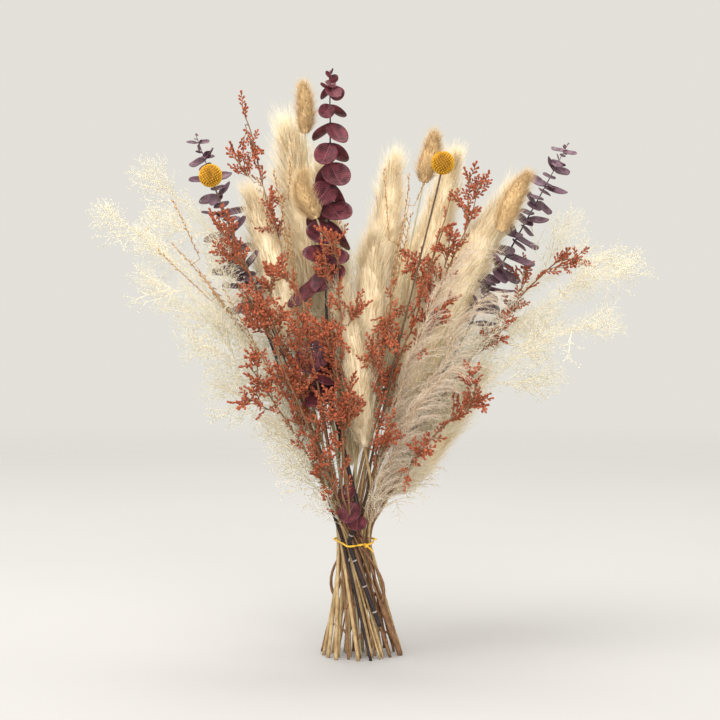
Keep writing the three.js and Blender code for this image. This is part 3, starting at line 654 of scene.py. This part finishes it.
# ---------------------------------------- limonium
# Fourteen stems of sea lavender dyed orange-rust: thin brown twigs fork off each stem and carry close
# rows of papery florets, 2.5 to 5 mm long, with frilled mouths. Two of the stems are forked below the tie.
LIMONIUM = {
    # name: head length, mm
    "limonium_left_long": 170,
    "limonium_left_low": 125,
    "limonium_left_tall": 130,
    "limonium_left_front": 140,
    "limonium_left_inner": 135,
    "limonium_front": 125,
    "limonium_middle": 165,
    "limonium_middle_right": 150,
    "limonium_right": 190,
    "limonium_right_tall": 150,
    "limonium_right_far": 120,
    "limonium_right_low": 90,
    "limonium_back_left": 140,
    "limonium_back_right": 140,
}
LOW = ("limonium_left_low", "limonium_left_front", "limonium_left_long", "limonium_front")
LOW_START = 0.13  # the share of its line by which a low one's florets start further down
FORKED = ("limonium_back_right", "limonium_left_front")
FORK_Z = 42 * MM
FORK_WIDTH = 8 * MM
PACKED_LIMONIUM = 1.35 * MM
PACKED_LIMONIUM_HEAD = 1.6 * MM
LIMONIUM_GIRTH = 0.95 * MM
COMB_LENGTH = (7, 10.5)  # mm
COMB_LEAN = (12, 42)  # degrees


def set_in(bm, rim, rise):
    """Gives the topmost face a rim and moves what is inside it up or down; returns the inner face."""
    top = max(bm.faces, key=lambda face: face.calc_center_median().z)
    bmesh.ops.inset_region(bm, faces=[top], thickness=rim, depth=0)
    for vert in top.verts:
        vert.co.z += rise
    return top


def floret():
    """A floret 1 long: a slim calyx that widens to its mouth, with petals folded to a point in it."""
    bm = cone(6, 0.08, 0.23, 0.66, 0.33)
    set_in(bm, 0.06, 0.3)
    rim = [v for v in bm.verts if 0.6 < v.co.z < 0.7 and v.co.xy.length > 0.14]
    for n, vert in enumerate(sorted(rim, key=lambda v: math.atan2(v.co.y, v.co.x))):
        if n % 2:
            vert.co += Vector((0.12 * vert.co.x, 0.12 * vert.co.y, 0.16))
    return kept_mesh(bm, "floret")


FLORET = floret()


def comb(count, seed):
    """A short twig, 1 long, with florets in two rows along it and one at its end."""
    rng = random.Random(seed)
    bm = bmesh.new()
    spine = [Vector((0, 0.16 * t * t, t)) for t in (0, 0.35, 0.7, 1)]
    tubes(bm, [tapered(spine, 0.03, 0)], 4)
    twig_faces = len(bm.faces)
    for n in range(count):
        share = 0.15 + 0.85 * n / (count - 1)
        point, ahead = along(spine, share)
        away = outwards(ahead, n * math.pi + rng.uniform(-0.7, 0.7))
        lean = math.radians(rng.uniform(34, 62)) if n < count - 1 else 0
        add(bm, FLORET, point, leaning(ahead, away, lean), rng.random(), rng.uniform(0.34, 0.46))
    paint_after(bm, twig_faces, 1)
    return kept_mesh(bm, "comb")


def fork_below(stem):
    """A stem, thicker up to its fork, and its second leg, which bulges out and rejoins it in the tie."""
    fork = min(stem, key=lambda spot: abs(spot[0].z - FORK_Z))[0]
    stem = [(point, radius * (1.75 if point.z <= fork.z else 0.8)) for point, radius in stem]
    join = min(stem, key=lambda spot: abs(spot[0].z - TIE_Z))[0]
    out = Vector((fork.x - join.x, 0, 0)).normalized() * FORK_WIDTH
    leg = []
    for t in (i / 9 for i in range(10)):
        leg.append((fork.lerp(join, t) + math.sin(math.pi * t ** 0.8) * out, (1.4 - 0.8 * t) * MM))
    return [stem, leg]


bark = dry(
    "limonium twig", (0.28, 0.15, 0.075), (0.14, 0.065, 0.032),
    patch=200, streak=1500, rough=0.7, bump=0.3,
)
rust = dry(
    "limonium floret", (0.57, 0.152, 0.068), (0.175, 0.036, 0.018),
    patch=420, streak=900, rough=0.8, through=0.15,
)
combs = [comb(6, 110 + n) for n in range(5)]
for number, (name, head) in enumerate(LIMONIUM.items()):
    rng = random.Random(800 + number)
    line = middle_line(name, PACKED_LIMONIUM, PACKED_LIMONIUM_HEAD, head * MM)
    total = length_of(line)
    start = 1 - head * MM / total
    bm = bmesh.new()
    limbs = [stalk(line, LIMONIUM_GIRTH, start, rng, joints=24 * MM, foot=1.2)]
    if name in FORKED:
        limbs = fork_below(limbs[0])
    limbs.append(core(line, start - 0.01, LIMONIUM_GIRTH, lambda share: 1 - 0.6 * share, 24))
    for knot in range(rng.randrange(1, 4)):
        share = (0.12 + 0.2 * knot + 0.1 * rng.random()) * TIE_Z / total
        point, ahead = along(line, share)
        way = (ahead * 0.8 + outwards(ahead, rng.uniform(0, 6.28)) * 0.6).normalized()
        stub = rng.uniform(4, 9) * MM
        end = point + way * stub
        limbs.append([(point, 1.0 * MM), (point + way * 0.5 * stub, 0.9 * MM), (end, 0.6 * MM)])
    rows = [(line, start - (LOW_START if name in LOW else 0.0), 0.11 * head)]
    for twig in long_twigs(name, line, PACKED_LIMONIUM, 12 * MM):
        reach = length_of(twig)
        limbs.append(twig_limb(twig, 0.5, 0.42, 0.3))
        rows.append((twig, 0.3, reach / MM * 0.14))
        for fork in range(4):
            point, ahead = along(twig, 0.22 + 0.17 * fork)
            away = outwards(ahead, fork * 2.2 + rng.random())
            way = (ahead * 0.85 + away * 0.52).normalized()
            side = [point, point + way * reach * rng.uniform(0.26, 0.42)]
            limbs.append([(side[0], 0.32 * MM), (side[1], 0.25 * MM)])
            rows.append((side, 0.3, length_of(side) / MM * 0.21))
    tubes(bm, limbs, 6, 0)
    for row, begin, count in rows:
        count = max(2, round(count))
        for n in range(count):
            share = begin + (1 - begin) * (n + 0.7 * rng.random()) / count
            point, ahead = along(row, share)
            away = outwards(ahead, n * GOLDEN + rng.random())
            way = leaning(ahead, away, math.radians(rng.uniform(*COMB_LEAN)))
            florets = combs[rng.randrange(len(combs))]
            add(bm, florets, point, way, rng.uniform(0, 6), rng.uniform(*COMB_LENGTH) * MM)
    piece = finished(bm, name + "_spray", [bark, rust], smooth=False)
    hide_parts(name)
    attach(piece, "root")

# ---------------------------------------- eucalyptus
# Three preserved branches: the tall one near black with round leaves of 25 mm in pairs, burgundy with a
# pale bloom, the two outer ones thinner with narrow grey-purple leaves. Each leaf is a cupped blade.
EUCALYPTUS = {
    # name: head length and stem radius, mm, how far the leaves lean from the stem, and their dome
    "eucalyptus_middle": (325, 2.5, math.radians(130), 0.12),
    "eucalyptus_left": (150, 1.6, math.radians(82), 0.05),
    "eucalyptus_right": (170, 1.6, math.radians(82), 0.05),
}
STOUT = 2  # a stem thicker than this many mm is the tall one's
HANGING = [  # the tall one's lowest leaves: share of the head, sideways per unit of front, size in mm, twist
    (-0.045, -0.1, 15, 0),
    (-0.012, -3.0, 18, 65),
    (0.03, -1.6, 13, 40),
]
TIP_LEAVES = 6


def leaf_shape(seed, dome):
    """A round leaf, 1 long and 1 wide, 1/30 thick, with its foot at the origin, domed, folded and waved."""
    rng = random.Random(seed)
    phase, fold = rng.uniform(0, 6), rng.uniform(0.0, 0.05)
    bm = bmesh.new()
    bm.loops.layers.uv.new("UVMap")
    bmesh.ops.create_grid(bm, x_segments=10, y_segments=10, size=1, calc_uvs=True)
    bmesh.ops.solidify(bm, geom=bm.faces[:], thickness=0.03)
    for vert in bm.verts:
        u, v, top = vert.co.x, vert.co.y, vert.co.z
        x = u * math.sqrt(1 - v * v / 2)
        y = v * math.sqrt(1 - u * u / 2)
        y += 0.10 * (1 - abs(x)) * max(0.0, y) ** 2
        out = math.hypot(x, y)
        wave = 0.02 * out * out * math.sin(3 * math.atan2(y, x) + phase)
        vert.co = (x / 2, top + dome * out * out + fold * abs(x) + wave, (y + 1) / 2)
    bmesh.ops.recalc_face_normals(bm, faces=bm.faces)
    return kept_mesh(bm, "leaf", smooth=True)


def set_leaf(bm, leaf, foot, face, ahead, scale):
    """Adds a leaf that points ahead from its foot, with its upper side towards face."""
    turned = Matrix((face.cross(ahead), face, ahead)).transposed().to_4x4()
    copy = leaf.copy()
    copy.transform(Matrix.Translation(foot) @ turned @ Matrix.Diagonal((*scale, 1)))
    for polygon in copy.polygons:
        polygon.material_index = 1
    bm.from_mesh(copy)
    bpy.data.meshes.remove(copy)


def leaf_material(name, light, dark, vein):
    """A leaf's skin: a pale bloom in cloudy patches, and veins that run from the midrib to the edge."""
    material = dry(name, light, dark, patch=170, streak=240, rough=0.5)
    nodes, links = material.node_tree.nodes, material.node_tree.links
    surface = nodes["Principled BSDF"]
    colour = next(n for n in nodes if n.type == "GROUP")
    place = nodes.new("ShaderNodeUVMap")
    place.uv_map = "UVMap"
    split = nodes.new("ShaderNodeSeparateXYZ")
    across = maths(nodes, "SUBTRACT", 0.5)
    side = maths(nodes, "ABSOLUTE")
    slant = maths(nodes, "MULTIPLY_ADD", -0.8)
    waves = maths(nodes, "MULTIPLY", 62)
    sine = maths(nodes, "SINE")
    ribs = rise_between(nodes, 0.86, 1.0)
    midrib = rise_between(nodes, 0.022, 0.008)
    both = maths(nodes, "MAXIMUM")
    mix = nodes.new("ShaderNodeMix")
    mix.data_type = "RGBA"
    mix.inputs["B"].default_value = (*vein, 1)
    relief = nodes.new("ShaderNodeBump")
    relief.inputs["Strength"].default_value = 0.4
    relief.inputs["Distance"].default_value = 0.3 * MM
    wire(
        links,
        (place, "UV", split, "Vector"),
        (split, "X", across, 0),
        (across, "Value", side, 0),
        (side, "Value", slant, 0),
        (split, "Y", slant, 2),
        (slant, "Value", waves, 0),
        (waves, "Value", sine, 0),
        (sine, "Value", ribs, "Value"),
        (side, "Value", midrib, "Value"),
        (ribs, "Result", both, 0),
        (midrib, "Result", both, 1),
        (both, "Value", mix, "Factor"),
        (colour, "Color", mix, "A"),
        (mix, "Result", surface, "Base Color"),
        (both, "Value", relief, "Height"),
        (relief, "Normal", surface, "Normal"),
    )
    return material


black_stem = dry(
    "eucalyptus stem", (0.035, 0.022, 0.024), (0.012, 0.008, 0.010),
    patch=60, streak=800, rough=0.45, bump=0.3,
)
node_ring = dry("node ring", (0.42, 0.36, 0.33), (0.24, 0.18, 0.17), patch=300, streak=900, rough=0.7)
burgundy = leaf_material("burgundy leaf", (0.155, 0.032, 0.043), (0.028, 0.006, 0.009), (0.19, 0.055, 0.068))
grey_leaf = leaf_material("grey-purple leaf", (0.17, 0.095, 0.125), (0.05, 0.02, 0.032), (0.22, 0.13, 0.16))
for number, (name, (head, girth, hang, dome)) in enumerate(EUCALYPTUS.items()):
    rng = random.Random(900 + number)
    stout = girth > STOUT
    leaves = [leaf_shape(130 + 5 * number + n, dome) for n in range(4)]
    line = middle_line(name, girth * MM, girth * MM, head * MM)
    total = length_of(line)
    start = 1 - head * MM / total
    bm = bmesh.new()
    limb = []
    for point, radius in stalk(line, 0.7 * girth * MM, 1, rng, joints=24 * MM):
        share = max(0.0, (point.z - line[0].z) / (line[-1].z - line[0].z) - start) / (1 - start)
        limb.append((point, radius * (1 - 0.72 * share)))
    tubes(bm, [limb], 8, 0)
    # pale rings where leaves were stripped, every 21 mm up from the cut end
    for ring in range(5 if stout else 0):
        point, ahead = along(line, (12 + 21 * ring) * MM / total)
        tubes(bm, [[(point + ahead * side * 0.5 * MM, 0.8 * girth * MM) for side in (-1, 1)]], 8, 2)
    # small leaves round the tip; they and the young stem between them have the leaves' colour
    bm.loops.layers.uv.verify()
    for n in range(TIP_LEAVES):
        joint, up = along(line, 1 - (2 + 3.4 * n) * MM / total)
        ahead = (up * (1.0 - 0.12 * n) + outwards(up, n * 2.2 + rng.random())).normalized()
        add(bm, leaves[n % 4], joint, ahead, rng.uniform(0, 6), (4.5 + 1.3 * n) * MM * (1 if stout else 0.6))
    young = line[-1].z - 24 * MM
    for face in bm.faces:
        if len(face.verts) == 4 and face.material_index == 0 and face.calc_center_median().z > young:
            face.material_index = 1
    # leaves that hang in front: a few low ones on the tall branch, one every 8 mm on the thin ones
    hanging = HANGING
    if not stout:
        hanging = []
        spaces = head / 8
        for n in range(int(spaces)):
            share = 0.8 * n / spaces
            hanging.append((0.15 + share, rng.uniform(-1, 1), 17 - share * 9, 0))
    for n, (share, sideways, size, twist) in enumerate(hanging):
        joint, up = along(line, start + (1 - start) * share)
        front = Vector((sideways, -1, 0))
        front = (front - front.project(up)).normalized()
        droop = math.radians(rng.uniform(132, 150) if stout else rng.uniform(108, 130))
        ahead = up * math.cos(droop) + front * math.sin(droop)
        face = Quaternion(ahead, math.radians(-twist)) @ (up - up.project(ahead)).normalized()
        set_leaf(bm, leaves[n % 4], joint + front * girth * 0.6 * MM, face, ahead, (size * MM,) * 3)
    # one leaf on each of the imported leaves, from its joint on the stem and a little wider
    broad, deep = (1.16, 1.28) if stout else (1.38, 1.0)
    for n, (_, _, verts) in enumerate(twigs_of(name, line, girth * MM)):
        middle = sum(verts, Vector()) / len(verts)
        place = min(range(301), key=lambda i: (along(line, i / 300)[0] - middle).length)
        level, up = along(line, place / 300)
        out = (middle - level).length
        joint = along(line, place / 300 - out / math.tan(hang) / total)[0]
        ahead = (middle - joint).normalized()
        face = up - up.project(ahead)
        turn = rng.uniform(30, 65) * (0.4 if stout else 1)
        face = Quaternion(ahead, math.radians(turn) * (1 if ahead.x > 0 else -1)) @ face
        face = Quaternion(ahead, math.radians(rng.uniform(-14, 14))) @ face.normalized()
        ahead = Quaternion(face.cross(ahead), math.radians(rng.uniform(-10, 10))) @ ahead
        face = (face - face.project(ahead)).normalized()
        spans = [(co - joint).dot(face.cross(ahead)) for co in verts]
        width = (max(spans) - min(spans)) * broad
        length = max((co - joint).dot(ahead) for co in verts)
        if len(verts) >= 5 and length >= 3.5 * MM:
            set_leaf(bm, leaves[n % 4], joint, face, ahead, (width, length * broad, length * broad * deep))
    piece = finished(bm, name + "_branch", [black_stem, burgundy if stout else grey_leaf, node_ring])
    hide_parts(name)
    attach(piece, "root")

# ---------------------------------------- billy buttons
# Two golden balls 17.5 mm across on thin dark stalks: 250 tiny florets cover each ball in crossing
# spirals, every one a low dome with a pit. The ball under the florets and each pit are dark brown:
# painted shade in the gaps and hollows.
BALL = 8.8 * MM
BUTTON_FLORETS = 250
BUTTON_FLORET_WIDTH = 1.36 * MM
PACKED_BUTTON_STALK = 0.9 * MM
BUTTON_STALK_GIRTH = 0.8 * MM


def button_floret():
    """A floret of the ball, 1 across: a low dome with a pit in its middle, painted dark brown as shade."""
    bm = cone(6, 0.55, 0.36, 0.7, 0.1)
    pit = set_in(bm, 0.1, -0.3)
    # the pit takes the dark brown: painted shade in its hollow
    pit.material_index = 1
    return kept_mesh(bm, "button floret")


dark_stalk = dry("button stalk", (0.14, 0.09, 0.055), (0.06, 0.04, 0.03), patch=120, streak=1200, rough=0.7)
gold = dry("button", (0.74, 0.43, 0.035), (0.52, 0.26, 0.015), patch=420, streak=420, rough=0.9)
# dark brown for the ball under the florets and for their pits: painted shade in the gaps and hollows
button_gap_shade = dry("button gap shade", (0.26, 0.12, 0.012), (0.14, 0.06, 0.008), patch=420, streak=420, rough=0.9)
pitted = button_floret()
for number, name in enumerate(("billy_button_left", "billy_button_right")):
    rng = random.Random(1000 + number)
    line = middle_line(name + "_stem", PACKED_BUTTON_STALK, PACKED_BUTTON_STALK, 0)
    bm = bmesh.new()
    tubes(bm, [stalk(line, BUTTON_STALK_GIRTH, 1, rng)], 8)
    stem = finished(bm, name + "_stalk", [dark_stalk])
    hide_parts(name + "_stem")
    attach(stem, "root")
    low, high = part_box(name)
    middle = (low + high) / 2
    bm = bmesh.new()
    # the ball under the florets, dark brown: painted shade where it shows between them
    bmesh.ops.create_icosphere(bm, subdivisions=4, radius=0.92 * BALL, matrix=Matrix.Translation(middle))
    for face in bm.faces:
        face.material_index = 1
    for n in range(BUTTON_FLORETS):
        height = 1 - 2 * (n + 0.5) / BUTTON_FLORETS
        ring = math.sqrt(1 - height * height)
        way = Vector((ring * math.cos(n * GOLDEN), ring * math.sin(n * GOLDEN), height))
        add(bm, pitted, middle + way * 0.93 * BALL, way, 0, BUTTON_FLORET_WIDTH)
    button = finished(bm, name + "_florets", [gold, button_gap_shade], smooth=False)
    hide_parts(name)
    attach(button, "root")

# ---------------------------------------- bunny tails
# Four heads of hare's-tail grass on green-grey stalks: soft tan ovals 36 to 48 mm long under a fur of
# fine hairs 7 to 12 mm long.
BUNNIES = {
    # name: head length and core radius, mm
    "bunny_tail_tall": (38, 5),
    "bunny_tail_left": (36, 5.5),
    "bunny_tail_middle": (38, 6),
    "bunny_tail_right": (48, 6),
}
PACKED_BUNNY_STALK = 0.8 * MM
BUNNY_STALK_GIRTH = 0.7 * MM
FUR_TUFTS = 200
FUR_LENGTH = (7, 12)  # mm
FUR_LEAN = (20, 46)  # degrees


def oval(share):
    """A bunny tail's outline from neck to tip."""
    return math.sin(math.pi * min(1, 0.12 + 0.88 * share)) ** 0.6 if share < 1 else 0


green_stalk = dry(
    "bunny stalk", (0.50, 0.44, 0.28), (0.33, 0.29, 0.17),
    patch=100, streak=1400, rough=0.6,
)
fur = dry(
    "bunny fur", (0.82, 0.61, 0.33), (0.64, 0.44, 0.21),
    patch=200, streak=400, rough=0.9, through=0.35, sheen=0.3,
)
fur_core = dry(
    "bunny core", (0.82, 0.60, 0.32), (0.62, 0.42, 0.20),
    patch=500, streak=1600, rough=0.95, bump=0.8,
)
furs = [lock(15, 0.0085, spread=math.radians(18), foot=0.10, curl=0.08, seed=140 + n) for n in range(3)]
for number, (name, (head, girth)) in enumerate(BUNNIES.items()):
    rng = random.Random(1100 + number)
    line = middle_line(name, PACKED_BUNNY_STALK, girth * MM, head * MM)
    start = 1 - head * MM / length_of(line)
    bm = bmesh.new()
    tubes(bm, [stalk(line, BUNNY_STALK_GIRTH, start + 0.02, rng)], 8, 0)
    tubes(bm, [core(line, start, girth * MM, oval)], 10, 1)
    body_faces = len(bm.faces)
    for n in range(FUR_TUFTS):
        share = (n + rng.random()) / FUR_TUFTS
        point, ahead = along(line, start + (1 - start) * share * 0.94)
        away = outwards(ahead, n * GOLDEN)
        lean = math.radians(rng.uniform(*FUR_LEAN)) * (1 - 0.45 * share)
        root = point + away * 0.8 * girth * MM * oval(share)
        way = leaning(ahead, away, lean)
        add(bm, furs[n % 3], root, way, rng.uniform(0, 6), rng.uniform(*FUR_LENGTH) * MM)
    paint_after(bm, body_faces, 2)
    piece = finished(bm, name + "_fur", [green_stalk, fur_core, fur])
    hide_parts(name)
    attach(piece, "root")

# ---------------------------------------- seed spikes
# Three stems of spike grass, light brown: slim branches nearly in line with the stem, each with two rows
# of husks 3.6 to 5.2 mm long.
SPIKES = {"spike_left": 150, "spike_left_low": 150, "spike_right": 150}  # head length, mm
PACKED_SPIKE = 0.9 * MM
PACKED_SPIKE_HEAD = 1.2 * MM
SPIKE_GIRTH = 0.8 * MM
HUSK_LENGTH = (3.6, 5.2)  # mm
HUSK_SPACING = 2.8 * MM

husk_brown = dry("seed spike", (0.52, 0.31, 0.14), (0.31, 0.17, 0.08), patch=260, streak=1200, rough=0.75)
for number, (name, head) in enumerate(SPIKES.items()):
    rng = random.Random(1200 + number)
    line = middle_line(name, PACKED_SPIKE, PACKED_SPIKE_HEAD, head * MM)
    start = 1 - head * MM / length_of(line)
    bm = bmesh.new()
    limbs = [stalk(line, SPIKE_GIRTH, start, rng)]
    limbs.append(core(line, start - 0.01, 0.6 * MM, lambda share: 1 - 0.6 * share, 24))
    rows = [(line, start + (1 - start) * 0.3)]
    for twig in long_twigs(name, line, PACKED_SPIKE, 15 * MM):
        limbs.append(twig_limb(twig, 0.3, 0.25, 0.15))
        rows.append((twig, 0.2))
    tubes(bm, limbs, 6, 0)
    for row, begin in rows:
        husks = int(length_of(row) * (1 - begin) / HUSK_SPACING)
        for n in range(husks):
            point, ahead = along(row, begin + (1 - begin) * n / husks)
            away = outwards(ahead, n * math.pi + 0.9 * rng.random())
            way = (ahead * 0.86 + away * 0.5).normalized()
            add(bm, SPIKELET, point, way, 0, rng.uniform(*HUSK_LENGTH) * MM)
    piece = finished(bm, name + "_husks", [husk_brown])
    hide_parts(name)
    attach(piece, "root")

# ---------------------------------------- the tie
# One turn of yellow raffia, two strands twisted to 1.7 mm, drawn round the stems 91 mm up and knotted in
# front with two short ends.
TIE_MIDDLE = Vector((-11.5 * MM, -37.5 * MM, 0))
TIE_REACH = 20 * MM  # what lies further out than this is a hanging end
SECTOR = 12  # degrees of the ring that give one point of its line
STRAND_GIRTH = 0.5 * MM
STRAND_OFFSET = 0.34 * MM
STRAND_TURNS = 14
STRAND_POINTS = 96
KNOT_BEARING = -55  # degrees from +X, in front and a little to the right
KNOT_GIRTH = 1.6 * MM
KNOT_ENDS = ((4.5, -5, 0.65), (-2.4, 2.2, 0.5))  # sideways, up, and radius of each end, mm


def off_tie(point):
    """The level direction from the tie's middle out to a point."""
    away = point - TIE_MIDDLE
    away.z = 0
    return away.normalized()


def bearing(off):
    """The angle from +X, in degrees, of what lies off the tie's middle."""
    return math.degrees(math.atan2(off.y, off.x))


raffia = dry("raffia", (0.90, 0.58, 0.06), (0.66, 0.36, 0.03), patch=300, streak=1400, rough=0.5, bump=0.4)
sectors = {}
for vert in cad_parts["tie"].data.vertices:
    off = vert.co - TIE_MIDDLE
    if off.xy.length < TIE_REACH:
        sectors.setdefault(int(bearing(off) % 360 // SECTOR), []).append(off)
ring = []
for n in sorted(sectors):
    inner = min(off.xy.length for off in sectors[n])
    close = [off for off in sectors[n] if off.xy.length < inner + 0.6 * MM]
    spot = sum(close, Vector()) / len(close)
    ring.append(TIE_MIDDLE + Vector((*(spot.xy.normalized() * (inner + 1.1 * MM)), spot.z)))
strands = bpy.data.curves.new("strands", "CURVE")
strands.dimensions = "3D"
strands.bevel_depth = STRAND_GIRTH
strands.bevel_resolution = 3
for phase in (0, math.pi):
    spline = strands.splines.new("NURBS")
    spline.points.add(STRAND_POINTS - 1)
    spline.resolution_u = 3
    for i in range(STRAND_POINTS):
        place = i / STRAND_POINTS * len(ring)
        a, b = ring[int(place) % len(ring)], ring[(int(place) + 1) % len(ring)]
        point = a.lerp(b, place - int(place))
        twist = 2 * math.pi * STRAND_TURNS * i / STRAND_POINTS + phase
        point += (off_tie(point) * math.cos(twist) + UP * math.sin(twist)) * STRAND_OFFSET
        spline.points[i].co = (*point, 1)
    spline.use_cyclic_u = True
holder = bpy.data.objects.new("strands", strands)
bm = bmesh.new()
bm.from_mesh(bpy.data.meshes.new_from_object(holder))
bpy.data.objects.remove(holder)
knot = min(ring, key=lambda p: abs(bearing(p - TIE_MIDDLE) - KNOT_BEARING)).copy()
away = off_tie(knot)
knot += away * 1.0 * MM
bmesh.ops.create_icosphere(bm, subdivisions=3, radius=KNOT_GIRTH, matrix=Matrix.Translation(knot))
for x, z, girth in KNOT_ENDS:
    end = knot + away * 2 * MM + Vector((x, 0, z)) * MM
    bend = knot.lerp(end, 0.5) + away * 1.2 * MM
    tubes(bm, [[(knot, girth * MM), (bend, girth * MM), (end, 0.7 * girth * MM)]], 8)
tie = finished(bm, "raffia_tie", [raffia])
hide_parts("tie")
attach(tie, "root")

# ---------------------------------------- the setting
# A flat floor of matt warm-white paper that fades into an even backdrop, under soft light from the upper
# left and from in front. The camera stands 1.6 m in front of the tie and looks a little down.
FLOOR_RADIUS = 2.4
FLOOR_FADE = (0.9, 2.3)
LENS = 105.3
CAMERA_OFF_TIE = Vector((2.7 * MM, -1.6, 0.310))
CAMERA_DOWN = 2.93  # degrees
BACKDROP = (0.765, 0.748, 0.690)

ground = bmesh.new()
bmesh.ops.create_circle(ground, cap_ends=True, segments=96, radius=FLOOR_RADIUS)
for face in ground.faces:
    if face.normal.z < 0:
        face.normal_flip()
paper = dry("paper", (0.428, 0.419, 0.413), (0.418, 0.409, 0.403), patch=2, streak=3, rough=0.95)
nodes, links = paper.node_tree.nodes, paper.node_tree.links
coords = nodes.new("ShaderNodeTexCoord")
from_middle = nodes.new("ShaderNodeVectorMath")
from_middle.operation = "LENGTH"
fade = rise_between(nodes, *FLOOR_FADE)
fade.interpolation_type = "SMOOTHSTEP"
clear = nodes.new("ShaderNodeBsdfTransparent")
blend = nodes.new("ShaderNodeMixShader")
wire(
    links,
    (coords, "Object", from_middle, 0),
    (from_middle, "Value", fade, "Value"),
    (fade, "Result", blend, "Fac"),
    (nodes["Principled BSDF"], "BSDF", blend, 1),
    (clear, "BSDF", blend, 2),
    (blend, "Shader", nodes["Material Output"], "Surface"),
)
floor = finished(ground, "ground", [paper], smooth=False)

scene = bpy.context.scene
camera_data = bpy.data.cameras.new("camera")
camera_data.lens = LENS
camera_data.sensor_width = 36
camera = bpy.data.objects.new("camera", camera_data)
camera.location = TIE_MIDDLE + CAMERA_OFF_TIE
camera.rotation_euler = (math.radians(90 - CAMERA_DOWN), 0, 0)
scene.collection.objects.link(camera)
scene.camera = camera


def panel(name, place, aim, width, watts, colour):
    """A square soft light at a place, aimed at a point."""
    light = bpy.data.lights.new(name, "AREA")
    light.size = width
    light.energy = watts
    light.color = colour
    holder = bpy.data.objects.new(name, light)
    holder.location = place
    holder.rotation_euler = (Vector(aim) - Vector(place)).to_track_quat("-Z", "Y").to_euler()
    scene.collection.objects.link(holder)


panel("key", (-0.85, -1.0, 2.5), (0, 0, 0.15), 2.0, 70, (1, 0.99, 0.965))
panel("fill", (0.3, -3.2, 1.1), (0, 0, 0.25), 2.4, 92, (1, 0.985, 0.96))
panel("back wash", (0, 0.9, 2.4), (0, 0.9, 0), 1.6, 40, (1, 0.99, 0.98))
world = bpy.data.worlds.new("studio")
scene.world = world
world.use_nodes = True
world.node_tree.nodes["Background"].inputs["Color"].default_value = (*BACKDROP, 1)
world.node_tree.nodes["Background"].inputs["Strength"].default_value = 1.0
scene.view_settings.view_transform = "Standard"
